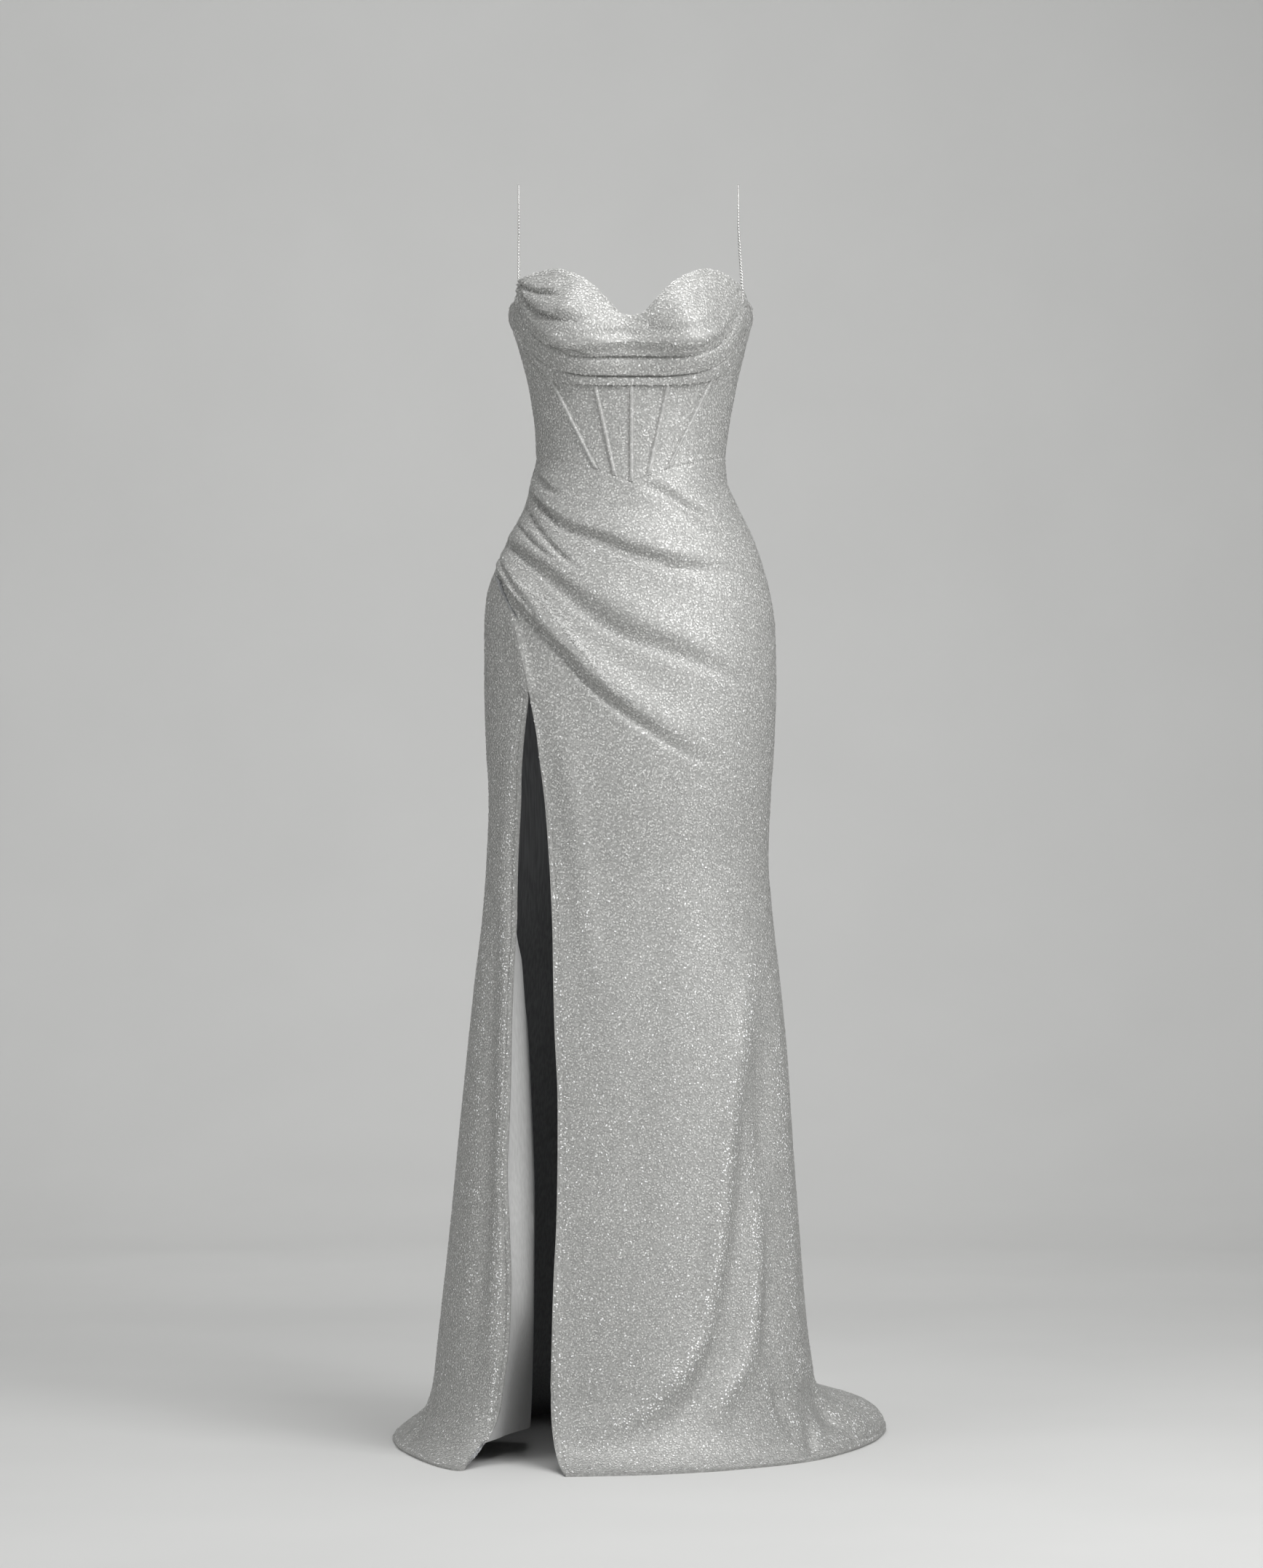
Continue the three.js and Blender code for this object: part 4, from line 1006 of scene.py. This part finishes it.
class DressColours(bpy.types.PropertyGroup):
    """Colours of the dress and the studio."""

    ground_dark: colour_property("Ground, dark", "Between the glitter grains", "#979795")
    ground: colour_property("Ground", "Glitter knit", "#a6a6a4")
    ground_light: colour_property("Ground, light", "Bright glitter grains", "#bcbcba")
    sequin_dark: colour_property("Sequin, dark", "Darkest sequins", "#aeaeac")
    sequin: colour_property("Sequin", "Most sequins", "#c3c3c1")
    sequin_light: colour_property("Sequin, light", "Lightest sequins", "#dadad8")
    # Painted glint: the white of sequins that stand in for sparkles of light; they are the same film as the
    # rest.
    painted_glint: colour_property("Glint", "Sequins of bare silver film", "#ffffff")
    backing: colour_property("Backing", "Inside of the cloth", "#a6a7a9")
    backing_dark: colour_property("Backing, dark", "Between the backing's ribs", "#8e8f91")
    lining: colour_property("Lining", "Satin lining", "#c6c6c5")
    lining_dark: colour_property("Lining, dark", "Between the satin's threads", "#babab9")
    metal: colour_property("Metal", "Slider and pull tab", "#c4c5c8")
    tape: colour_property("Tape", "Zip tape", "#a2a5a5")
    paper: colour_property("Paper", "Studio backdrop", "#d3d3d2")
    paper_dark: colour_property("Paper, dark", "Shade of the backdrop's faint mottle", "#d0d0cf")


def neck_at(angle):
    return neck_curve(np.abs(angle))


def waist_at(angle, height):
    """The waist seam's height: from the front view's distance to the centre front, and level round the
    back."""
    front = waist_curve(np.abs(body(angle, height)[..., 0]))
    return np.where(np.abs(angle) < 90, front, SIDE_WAIST)


PASSES = 8  # rounds that settle a height and an angle that depend on each other
MIDRIFF = 1200


def bodice_grid(first_seam, last_seam, columns, rows):
    """A bodice panel from its top down to the waist seam, between two seams that are angles at a height."""
    share, down = np.meshgrid(shares(columns, 60), shares(rows, 200))
    height = np.full(share.shape, float(MIDRIFF))
    for _ in range(PASSES):
        angle = inset_angle(body, first_seam(height), last_seam(height), share, height)
        high = neck_at(angle)
        height = high + (waist_at(angle, height) - high) * down
    return body(angle, height)


drape_curves = [curve(DRAPE_ANGLES, row) for row in DRAPE_LINES] + [neck_curve]


def drape_height(angle, line):
    """The height of a line of the drape: a whole number is a fold line, and others lie in proportion."""
    angle, line = np.broadcast_arrays(np.abs(angle), np.asarray(line, float))
    heights = np.stack([each(angle) for each in drape_curves])
    low = np.clip(np.floor(line).astype(int), 0, NECK_LINE - 1)
    below = np.take_along_axis(heights, low[None], 0)[0]
    above = np.take_along_axis(heights, low[None] + 1, 0)[0]
    return below + (above - below) * (line - low)


def front_edge_angle(height):
    """The skirt front's left edge: the wrap edge, then a straight line to the side seam, then the side
    seam."""
    share = np.clip((height - WRAP_HEIGHT) / (SEAM_HEIGHT - WRAP_HEIGHT), 0, 1)
    return np.where(height > WRAP_HEIGHT, WRAP_ANGLE + (-90 - WRAP_ANGLE) * share, front_edge(height))


ROW_STEP = 5.5  # mm between rows of the skirt
HEM_NEAR = (1, 2.5, 5, 8, 9, 10)  # mm of the extra columns beside a turned hem
WAIST_RUN = 8  # rows between the waist seam and the first sagging row
FOOT_ROWS = np.unique(np.append(np.linspace(0, 1, 33)[1:] ** 0.9, [0.93, 0.97, 0.99]))
RELIEF_RISE = 30  # mm above the floor over which the skirt's folds come in
WAIST_FADE, RIGHT_FADE = 22, 20  # mm from the waist and the right side seam over which they come in
LEFT_FADE = (2, 42)  # mm from the left side seam over which the hip's folds come in


def foot_rows(first, last, across):
    """A panel's rows from the skirt's bend to its rim, between two angles."""
    return [foot(inset_angle(foot, first, last, across, t), t) for t in FOOT_ROWS]


def front_grid():
    """The skirt front. Its rows sag: the heights at four places across are mixed from the table's rows,
    and a smooth curve through them gives the rest. The last rows run along the floor to the rim."""
    across = shares(88, 430, HEM_NEAR)
    keys = np.arange(len(FRONT_ROWS["left"]))
    drop = np.max([-np.diff(FRONT_ROWS[name]) for name in FRONT_ROWS], axis=0)
    steps = []
    for k, gap in enumerate(drop):
        steps.append(np.linspace(k, k + 1, max(2, int(gap / ROW_STEP)), endpoint=False))
    row = np.concatenate([*steps, [keys[-1]]])
    marks = np.stack([curve(keys, FRONT_ROWS[name])(row) for name in FRONT_ROWS], -1)
    places = [0, 0.25, 0.5, 1]
    rows = []
    for seam in np.unique(np.append(np.linspace(0, 1, WAIST_RUN + 1)[1:], 0.97))[::-1]:
        rows.append((seam, marks[0]))
    rows += [(0.0, mark) for mark in marks]
    grid = []
    for seam, mark in rows:
        level = curve(places, mark)(across)
        left = mark[0] + (SIDE_WAIST - SEAM - mark[0]) * seam
        angle = inset_angle(body, front_edge_angle(left), 90, across, level)
        height = level
        for _ in range(PASSES):
            height = level + (waist_at(angle, height) - level) * seam
        grid.append(body(angle, height))
    return np.array(grid + foot_rows(front_edge(0), 90, across))


def side_front_angle(height):
    return np.where(height >= SLIT_TOP, front_edge(height), side_front_edge(height))


def side_front_grid():
    """The narrow panel between the left side seam and the slit: rows of one height, which tilt at the top
    to meet the wrap edge."""
    across = shares(24, 130, HEM_NEAR)
    heights = np.linspace(WRAP_HEIGHT - SEAM, BEND_HEIGHT, int((WRAP_HEIGHT - BEND_HEIGHT) / ROW_STEP))
    grid = []
    for level in heights:
        tilt = (SEAM_HEIGHT - WRAP_HEIGHT) * (1 - smoothstep(WRAP_HEIGHT - level, 0, 70))
        height = level + tilt * (1 - across)
        angle = inset_angle(body, -90, side_front_angle(level), across, height)
        grid.append(body(angle, height))
    return np.array(grid + foot_rows(-90, side_front_edge(0), across))


def back_grid(first, last):
    """A back skirt panel from the waist seam to the rim of the train."""
    across = shares(44, 250)
    heights = np.linspace(SIDE_WAIST - SEAM, BEND_HEIGHT, 130)
    grid = [body(inset_angle(body, first, last, across, level), level) for level in heights]
    return np.array(grid + foot_rows(first, last, across))


def stand_in(made, node):
    """Declares a piece in place of its node."""
    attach(made, BODY_NAME)
    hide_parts(node)


def sew_on(made, node, with_pieces=()):
    """Declares a cloth panel in place of its node, with the pieces sewn on it."""
    stand_in(made, node)
    for piece in with_pieces:
        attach(piece, BODY_NAME)


class DRESS_OT_bust_drape(bpy.types.Operator):
    """Makes the pleated drape over the cups"""

    bl_idname = "dress.bust_drape"
    bl_label = "Bust drape"

    def execute(self, context):
        sizes, colours = context.scene.dress_sizes, context.scene.dress_colours
        creased = [np.linspace(0.9, 1.12, 12), np.linspace(1.9, 2.12, 12), [0.02, 0.04, 0.08, 3.95, 3.98]]
        line = np.unique(np.concatenate([np.linspace(0, NECK_LINE, 61), *creased]))[::-1]
        share, line = np.meshgrid(shares(150, 460), line)
        angle = inset_angle(body, -90, 90, share, DRAPE_MIDDLE)
        height = drape_height(angle, line)
        base = body(angle, height)
        edge = 90 - np.abs(angle)
        side = SIDE_LIFT + (1 - SIDE_LIFT) * smoothstep(edge, *TUCK_FADE)
        roll = self.roll(line) * smoothstep(edge, *ROLL_FADE)
        creases = gather_relief(CUP_PLEATS, base[..., 0], height) * smoothstep(edge, *PLEAT_FADE)
        creases += groove_relief(CUP_CREASES, base[..., 0], height)
        creases *= smoothstep(line, *CREASE_START)
        lift = curve(DRAPE_TUCKS["line"], DRAPE_TUCKS["lift"])(line) * side + roll + creases
        lift = np.maximum(lift, LOWEST_LIFT)
        normal = normals(base)
        outer = base + normal * (DRAPE_SINK + sizes.cloth / MM + lift)[..., None]
        inner = base + normal * DRAPE_SINK
        materials = cloth_faces(colours)
        drape = wall_object("bust_drape_cloth", outer, inner, materials)
        sequins = sequin_object("bust_drape_sequins", outer, sizes, sequin_film(colours), 11)
        sew_on(drape, "bust_drape", [sequins])
        return {"FINISHED"}

    def roll(self, line):
        """Lift of the rolled edge: a power up to its crest, and above it a narrow bell and a wide one."""
        over = line - DRAPE_ROLL["crest"]
        under = np.clip(1 + over / (DRAPE_ROLL["crest"] - DRAPE_ROLL["from"]), 0, 1) ** DRAPE_ROLL["slope"]
        lip = DRAPE_ROLL["lip_share"] * np.exp(-((over / DRAPE_ROLL["lip"]) ** 2))
        lip += (1 - DRAPE_ROLL["lip_share"]) * np.exp(-((over / DRAPE_ROLL["above"]) ** 2))
        return DRAPE_ROLL["lift"] * np.where(over > 0, lip, under) * (line > DRAPE_ROLL["from"])


def corset_seams(sign):
    """The four seams of one side of the corset, from the centre front to the side seam."""
    return [
        lambda height: np.zeros_like(height),
        lambda height: angle_of(sign * inner_seam(height), height),
        lambda height: angle_of(sign * outer_seam(height), height),
        lambda height: np.full_like(height, sign * 90.0),
    ]


# A boning channel: the share of its width that is round, mm of its flanges, of its round part above them,
# of its underside and of its run past the waist seam, and the line of the drape that its top lies at.
BONE = {"round": 0.78, "flange": 0.8, "proud": 2.1, "sunk": 0.3, "past": 0.8, "line": 0.06}
BONE_START, BONE_END = (-0.02, 0.07), (-0.01, 0.05)  # shares of its run over which its ends rise


class DRESS_OT_corset(bpy.types.Operator):
    """Makes the six corset panels and the five boning channels over their seams"""

    bl_idname = "dress.corset"
    bl_label = "Corset"

    def execute(self, context):
        sizes, colours = context.scene.dress_sizes, context.scene.dress_colours
        materials = cloth_faces(colours)
        for side, sign in (("left", -1), ("right", 1)):
            seams = corset_seams(sign)
            for k, name in enumerate(("centre", "middle", "side")):
                first, last = (seams[k], seams[k + 1]) if sign > 0 else (seams[k + 1], seams[k])
                base = bodice_grid(first, last, 16, 56)
                under = base[..., 2] - drape_height(angle_of(base[..., 0], base[..., 2]), 0)
                base -= normals(base) * (CORSET_SINK * smoothstep(under, 1, 9))[..., None]
                edges = {"left": "seam", "right": "seam", "bottom": "seam"}
                panel, outer = cloth_object(f"corset_{name}_cloth_{side}", base, 0, edges, sizes, materials)
                shown = outer[outer.shape[0] // 4 :]
                seed = 20 + 3 * (sign > 0) + k
                film = sequin_film(colours)
                sequins = sequin_object(f"corset_{name}_sequins_{side}", shown, sizes, film, seed)
                sew_on(panel, f"corset_{name}_{side}", [sequins])
        materials = [glitter_ribbon(colours), knit_backing(colours)]
        self.bone("bone_centre", lambda height: np.zeros_like(height), sizes, materials)
        for side, sign in (("left", -1), ("right", 1)):
            self.bone(f"bone_inner_{side}", lambda h, s=sign: s * inner_seam(h), sizes, materials)
            self.bone(f"bone_outer_{side}", lambda h, s=sign: s * outer_seam(h), sizes, materials)
        return {"FINISHED"}

    def bone(self, node, seam_x, sizes, materials):
        """A half-round channel along a corset seam: its height is the square root of 1 less across
        squared, over stitched flanges."""
        width = sizes.bone_width / MM
        across = np.concatenate([[-1], np.sin(np.linspace(-1, 1, 9) * np.pi / 2) * BONE["round"], [1]])
        rows = np.linspace(0, 1, 61)
        share, down = np.meshgrid(across, rows)
        height = np.full(share.shape, float(MIDRIFF))
        for _ in range(PASSES):
            middle = angle_of(seam_x(height), height)
            run = np.linalg.norm(body(middle + 0.5, height) - body(middle - 0.5, height), axis=-1)
            angle = middle + share * width / 2 / run
            top = drape_height(angle, BONE["line"])
            height = top + (waist_at(angle, height) + BONE["past"] - top) * down
        base = body(angle, height)
        rise = BONE["proud"] * np.sqrt(np.clip(1 - (share / BONE["round"]) ** 2, 0, 1))
        rise = rise * smoothstep(down, *BONE_START) * smoothstep(1 - down, *BONE_END)
        normal = normals(base)
        outer = base + normal * (BONE["flange"] + rise)[..., None]
        inner = base - normal * BONE["sunk"]
        stand_in(wall_object(node + "_channel", outer, inner, materials), node)


class DRESS_OT_bodice_back(bpy.types.Operator):
    """Makes the two plain back panels of the bodice"""

    bl_idname = "dress.bodice_back"
    bl_label = "Bodice back"

    def execute(self, context):
        sizes, colours = context.scene.dress_sizes, context.scene.dress_colours
        materials = cloth_faces(colours)
        for side, first, last, seed in (("right", 90, 180, 31), ("left", -180, -90, 32)):
            base = bodice_grid(
                lambda height, a=first: np.full_like(height, float(a)),
                lambda height, a=last: np.full_like(height, float(a)),
                34,
                34,
            )
            edges = {"left": "seam", "right": "seam", "bottom": "seam", "top": "hem"}
            panel, outer = cloth_object(f"bodice_back_cloth_{side}", base, 0, edges, sizes, materials)
            film = sequin_film(colours)
            sequins = sequin_object(f"bodice_back_sequins_{side}", outer, sizes, film, seed)
            sew_on(panel, f"bodice_back_{side}", [sequins])
        return {"FINISHED"}


class DRESS_OT_skirt(bpy.types.Operator):
    """Makes the skirt: the gathered front, the panel beside the slit and the two back panels with the
    train"""

    bl_idname = "dress.skirt"
    bl_label = "Skirt"

    def execute(self, context):
        sizes, colours = context.scene.dress_sizes, context.scene.dress_colours
        materials = cloth_faces(colours)
        front = front_grid()
        low = smoothstep(front[..., 2], FLOOR_LIFT, FLOOR_LIFT + RELIEF_RISE)
        waist = smoothstep(lengths(front, 0), 0, WAIST_FADE)
        left_seam = lengths(front, 1)
        relief = gather_relief(HIP_FOLDS, front[..., 0], front[..., 2]) * smoothstep(left_seam, *LEFT_FADE)
        right_seam = left_seam[:, -1:] - left_seam
        relief = (relief + groove_relief(SKIRT_FOLDS, front[..., 0], front[..., 2])) * low * waist
        relief *= smoothstep(right_seam, 0, RIGHT_FADE)
        side_front = side_front_grid()
        side_relief = groove_relief(SIDE_FRONT_FOLDS, side_front[..., 0], side_front[..., 2])
        side_relief *= smoothstep(side_front[..., 2], FLOOR_LIFT, FLOOR_LIFT + RELIEF_RISE)
        plain = {**SEAMED, "bottom": "hem"}
        panels = [
            ("front", "gathered", front, relief, {**plain, "left": "hem"}),
            ("side_front", "hung", side_front, side_relief, {**plain, "right": "hem"}),
            ("back_right", "hung", back_grid(90, 180), 0, plain),
            ("back_left", "hung", back_grid(180, 270), 0, plain),
        ]
        for k, (name, held, base, raised, edges) in enumerate(panels):
            panel, outer = cloth_object(f"skirt_{name}_cloth", base, raised, edges, sizes, materials)
            film = sequin_film(colours)
            sequins = sequin_object(f"skirt_{name}_sequins", outer, sizes, film, 41 + k, edges)
            sew_on(panel, f"skirt_{name}", [sequins])
        return {"FINISHED"}


class DRESS_OT_lining(bpy.types.Operator):
    """Makes the satin lining behind the slit's left edge"""

    bl_idname = "dress.lining"
    bl_label = "Slit lining"

    def execute(self, context):
        sizes, colours = context.scene.dress_sizes, context.scene.dress_colours
        columns = np.linspace(0, 1, 41)
        crest_x = curve(LINING["height"], LINING["x"])
        crest_y = curve(LINING["height"], LINING["y"])
        heights = np.linspace(LINING_TOP, BEND_HEIGHT, 90)
        fronts = [body(side_front_angle(level) - 2, level) for level in heights]
        fronts += [foot(side_front_edge(0) - 2, t) for t in np.linspace(0, 0.72, 13)[1:]]
        grid = []
        for front in fronts:
            level = front[2]
            ahead, back = front.copy(), body(LINING_BACK_ANGLE, level)
            ahead[:2] *= 1 - LINING_GAP / np.linalg.norm(front[:2])
            back[:2] *= 1 - LINING_BACK_GAP / np.linalg.norm(back[:2])
            crest = np.array([crest_x(level), crest_y(level), level])
            deeper = (crest[1] - ahead[1]) * LINING_SLANT * (1 - smoothstep(level, *LINING_FALL))
            turn = crest * [1, 0, 1] + [0, ahead[1] + LINING_REACH + deeper, 0]
            turn[0] *= (VIEW_DISTANCE + turn[1]) / (VIEW_DISTANCE + crest[1])
            taper = smoothstep(LINING_TOP - level, 0, LINING_TAPER)
            tucked = (1 - taper) * (ahead - [LINING_TUCK, 0, 0])
            turn[:2] = turn[:2] * taper + tucked[:2]
            crest[:2] = crest[:2] * taper + tucked[:2] + [0, LINING_SINK * (1 - taper)]
            start = turn * LINING_EASE + ahead * (1 - LINING_EASE) - [0, LINING_HOLLOW, 0]
            rest = crest + (back - crest) * LINING_REST + [0, LINING_SWELL, 0]
            path = [ahead, start, turn, (turn + crest) / 2, crest, rest, back]
            grid.append(spline(path, LINING_POINTS)[(columns * (LINING_POINTS - 1)).astype(int)])
        outer = np.array(grid)
        drape = LINING_WAVE * np.sin(np.pi * columns * LINING_WAVES) * np.sin(np.pi * columns)
        outer = outer + normals(outer) * drape[None, :, None]
        inner = outer - normals(outer) * (sizes.satin / MM)
        satin = lining_satin(colours)
        made = wall_object("slit_lining_satin", outer, inner, [satin, satin])
        sew_on(made, "slit_lining")
        return {"FINISHED"}


STRAPS = listed(
    "node x top_x back_angle sewn_down",
    [["strap_left", -126.7, -128.6, -112.5, 3], ["strap_right", 124.2, 121.8, 116, 17]],
)
STRAP_FOOT = 1318
THREAD_RADIUS = 0.35  # of the strand between two beads
STRAP_FALL = 1322  # down to here the back run hangs straight, and then it slants to its end


def strap_route(strap):
    """A strap's centreline: up the outside of the cup, over the shoulder in a half circle and down to the
    back."""
    foot_angle = float(angle_of(strap["x"], STRAP_FOOT))
    foot_point = body(foot_angle, neck_at(foot_angle))
    low_point = body(foot_angle, neck_at(foot_angle) - strap["sewn_down"])
    sewn = [low_point * [1.015, 1.05, 1], foot_point * [1.012, 1.04, 1]]
    ends = body(strap["back_angle"], neck_at(strap["back_angle"]))
    ends[:2] *= 1 - 1 / np.linalg.norm(ends[:2])
    arc = SHOULDER_HEIGHT - SHOULDER_RADIUS
    turn = np.radians(np.linspace(0, 180, 13))
    y = -SHOULDER_RADIUS * np.cos(turn)
    over = np.stack([strap["top_x"] * (1 + y / VIEW_DISTANCE), y, arc + SHOULDER_RADIUS * np.sin(turn)], -1)
    rise = (sewn[1] + over[0]) / 2
    rise[1] = over[0][1]
    behind = (VIEW_DISTANCE + SHOULDER_RADIUS) / (VIEW_DISTANCE + foot_point[1])
    fall = np.array([strap["x"] * behind, SHOULDER_RADIUS, STRAP_FALL])
    return spline(np.concatenate([sewn, [rise], over, [fall, ends]]), 400)


class DRESS_OT_straps(bpy.types.Operator):
    """Makes the two straps as strands of beads"""

    bl_idname = "dress.straps"
    bl_label = "Straps"

    def execute(self, context):
        sizes, colours = context.scene.dress_sizes, context.scene.dress_colours
        for strap in STRAPS:
            route = strap_route(strap)
            run = lengths(route[None], 1)[0]
            count = int(run[-1] / (sizes.bead_pitch / MM))
            at = np.linspace(0, run[-1], count)
            centre = np.stack([np.interp(at, run, route[:, k]) for k in range(3)], -1)
            made = self.strand(strap["node"] + "_beads", centre, sizes, silvered_glass(colours))
            stand_in(made, strap["node"])
        return {"FINISHED"}

    def strand(self, name, centre, sizes, material):
        """One mesh along the strand, as wide as a bead at each bead and as a thread between two."""
        rings, sides = 8, 10
        fine = np.linspace(0, len(centre) - 1, (len(centre) - 1) * rings + 1)
        line = np.stack([np.interp(fine, np.arange(len(centre)), centre[:, k]) for k in range(3)], -1)
        along = np.gradient(line, axis=0)
        along /= np.linalg.norm(along, axis=-1, keepdims=True)
        side = np.cross(along, [1.0, 0, 0])
        side /= np.linalg.norm(side, axis=-1, keepdims=True)
        other = np.cross(along, side)
        bead = sizes.bead / MM / 2
        radius = THREAD_RADIUS + (bead - THREAD_RADIUS) * np.sqrt(np.abs(np.cos(np.pi * fine)))
        turn = np.linspace(0, 2 * np.pi, sides, endpoint=False)
        ring = np.cos(turn)[None, :, None] * side[:, None] + np.sin(turn)[None, :, None] * other[:, None]
        points = line[:, None] + radius[:, None, None] * ring
        index = np.arange(len(fine) * sides).reshape(len(fine), sides)
        a, b = index[:-1], index[1:]
        quads = np.stack([a, np.roll(a, -1, 1), np.roll(b, -1, 1), b], -1).reshape(-1, 4)
        loops = np.concatenate([quads.ravel(), index[0][::-1], index[-1]])
        starts = np.append(np.arange(len(quads)) * 4, [len(quads) * 4, len(quads) * 4 + sides])
        return mesh_object(name, points, loops, starts, [material])


ZIP_BOTTOM, ZIP_TOP = 925, 1222
TOOTH = {"pitch": 1.5, "width": 1.5, "aside": 0.5, "tall": 0.55, "deep": 1.4, "proud": 0.5}
# A tooth's six sides, by the numbers of its corners in the order that they are laid out in.
TOOTH_FACES = [[0, 1, 3, 2], [4, 6, 7, 5], [0, 4, 5, 1], [2, 3, 7, 6], [0, 2, 6, 4], [1, 5, 7, 3]]


class DRESS_OT_zip(bpy.types.Operator):
    """Gives the zip its finishes and makes its teeth"""

    bl_idname = "dress.zip"
    bl_label = "Zip"

    def execute(self, context):
        colours = context.scene.dress_colours
        finishes = {
            "zip_tape": woven_tape(colours),
            "zip_slider": plated_zinc(colours),
            "zip_pull": plated_zinc(colours),
        }
        for node, material in finishes.items():
            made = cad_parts[node]
            made.data.materials.clear()
            made.data.materials.append(material)
        heights = np.arange(ZIP_BOTTOM, ZIP_TOP, TOOTH["pitch"] / 2)
        place = body(np.full(len(heights), 180.0), heights)
        up = np.gradient(place, axis=0)
        up /= np.linalg.norm(up, axis=-1, keepdims=True)
        out = np.cross(up, [-1, 0, 0])
        ends = [-1, 1]
        corners = np.meshgrid(ends, ends, ends, indexing="ij")
        x, y, z = (each.ravel()[None, :, None] for each in corners)
        side = np.where(np.arange(len(heights)) % 2, 1, -1)[:, None, None] * TOOTH["aside"]
        points = place[:, None] + (side + x * TOOTH["width"] / 2) * np.array([1, 0, 0])
        points = points + out[:, None] * (TOOTH["proud"] + (y - 1) * TOOTH["deep"] / 2)
        points = points + up[:, None] * z * TOOTH["tall"] / 2
        loops = (np.arange(len(heights))[:, None] * 8 + np.array(TOOTH_FACES).ravel()).ravel()
        starts = np.arange(len(heights) * 6) * 4
        teeth = mesh_object("zip_teeth", points, loops, starts, [plated_zinc(colours)], smooth=False)
        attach(teeth, BODY_NAME)
        return {"FINISHED"}


CAMERA_DISTANCE = 6.0
CAMERA_HEIGHT = 0.757
LENS = 120.76  # on a 36 mm tall sensor
FLOOR = -SHOULDER_HEIGHT * MM


# The lights: a name, a place, the point that it faces, its sides in metres and its power in watts.
LIGHTS = [
    ("key", (0.8, -1.5, 0.8), (0, 0, -0.15), (0.8, 0.8), 17),
    ("side_key", (1.7, -1.6, 0.3), (0, 0, -0.3), (1.0, 1.0), 27),
    ("fill", (-2.8, -2.6, 0.1), (0, 0, -0.6), (2.4, 2.4), 26),
    ("front", (0.35, -4.5, -0.5), (-0.05, 0, -0.9), (1.0, 1.0), 4),
    ("overhead", (0.1, -0.3, 2.3), (0, -0.3, -1.4), (1.6, 1.6), 40),
    ("wall", (-0.9, 1.2, 1.6), (-0.1, 4.0, -0.4), (1.6, 1.2), 12),
    ("halo", (-0.1, 1.6, 0.0), (-0.1, 4.0, -0.1), (0.5, 0.5), 7),
]


def area_light(name, place, target, size, power):
    """A soft box that faces a point."""
    data = bpy.data.lights.new(name, "AREA")
    data.shape = "RECTANGLE"
    data.size, data.size_y = size
    data.energy = power
    made = bpy.data.objects.new(name, data)
    made.location = place
    made.rotation_euler = (Vector(target) - Vector(place)).to_track_quat("-Z", "Y").to_euler()
    made.visible_camera = False
    bpy.context.scene.collection.objects.link(made)


class DRESS_OT_studio(bpy.types.Operator):
    """Makes the backdrop, the lights and the camera"""

    bl_idname = "dress.studio"
    bl_label = "Studio"

    def execute(self, context):
        scene, colours = context.scene, context.scene.dress_colours
        self.sweep(studio_paper(colours))
        data = bpy.data.cameras.new("camera")
        data.sensor_fit = "VERTICAL"
        data.sensor_height = 36
        data.sensor_width = 36
        data.lens = LENS
        camera = bpy.data.objects.new("camera", data)
        camera.location = (0, -CAMERA_DISTANCE, FLOOR + CAMERA_HEIGHT)
        camera.rotation_euler = (math.pi / 2, 0, 0)
        scene.collection.objects.link(camera)
        scene.camera = camera
        for light in LIGHTS:
            area_light(*light)
        world = bpy.data.worlds.new("studio_air")
        world.use_nodes = True
        background = world.node_tree.nodes["Background"]
        background.inputs["Color"].default_value = linear("#dfe0df")
        background.inputs["Strength"].default_value = 0.45
        scene.world = world
        scene.view_settings.view_transform = "Standard"
        return {"FINISHED"}

    def sweep(self, material):
        """A floor that curves up into a wall: a quarter circle between two straight runs."""
        near, far, radius, half, top = -9000, 2600, 1400, 9000, 9000
        turn = np.radians(np.linspace(0, 90, 25))
        y = np.concatenate([[near], far + radius * np.sin(turn), [far + radius]])
        z = np.concatenate([[0], radius - radius * np.cos(turn), [top]])
        x = np.array([-half, half])
        points = np.stack(np.broadcast_arrays(x[None, :], y[:, None], z[:, None]), -1)
        index = np.arange(len(y) * 2).reshape(-1, 2)
        quads = np.stack([index[:-1, 0], index[:-1, 1], index[1:, 1], index[1:, 0]], -1)
        made = mesh_object("backdrop", points, quads.ravel(), np.arange(len(quads)) * 4, [material])


class DRESS_PT_make(bpy.types.Panel):
    """Lists the pieces of the dress"""

    bl_idname = "DRESS_PT_make"
    bl_label = "Evening dress"
    bl_space_type = "VIEW_3D"
    bl_region_type = "UI"
    bl_category = "Dress"

    def draw(self, context):
        for step in STEPS:
            self.layout.operator(step.bl_idname)


STEPS = (
    DRESS_OT_studio,
    DRESS_OT_bust_drape,
    DRESS_OT_corset,
    DRESS_OT_bodice_back,
    DRESS_OT_skirt,
    DRESS_OT_lining,
    DRESS_OT_straps,
    DRESS_OT_zip,
)
CLASSES = (DressSizes, DressColours, *STEPS, DRESS_PT_make)


def register():
    for each in CLASSES:
        bpy.utils.register_class(each)
    bpy.types.Scene.dress_sizes = bpy.props.PointerProperty(type=DressSizes)
    bpy.types.Scene.dress_colours = bpy.props.PointerProperty(type=DressColours)


def unregister():
    del bpy.types.Scene.dress_colours
    del bpy.types.Scene.dress_sizes
    for each in reversed(CLASSES):
        bpy.utils.unregister_class(each)


def main():
    """Makes every piece in order."""
    register()
    for step in STEPS:
        group, name = step.bl_idname.split(".")
        getattr(getattr(bpy.ops, group), name)()


if __name__ == "__main__":
    main()
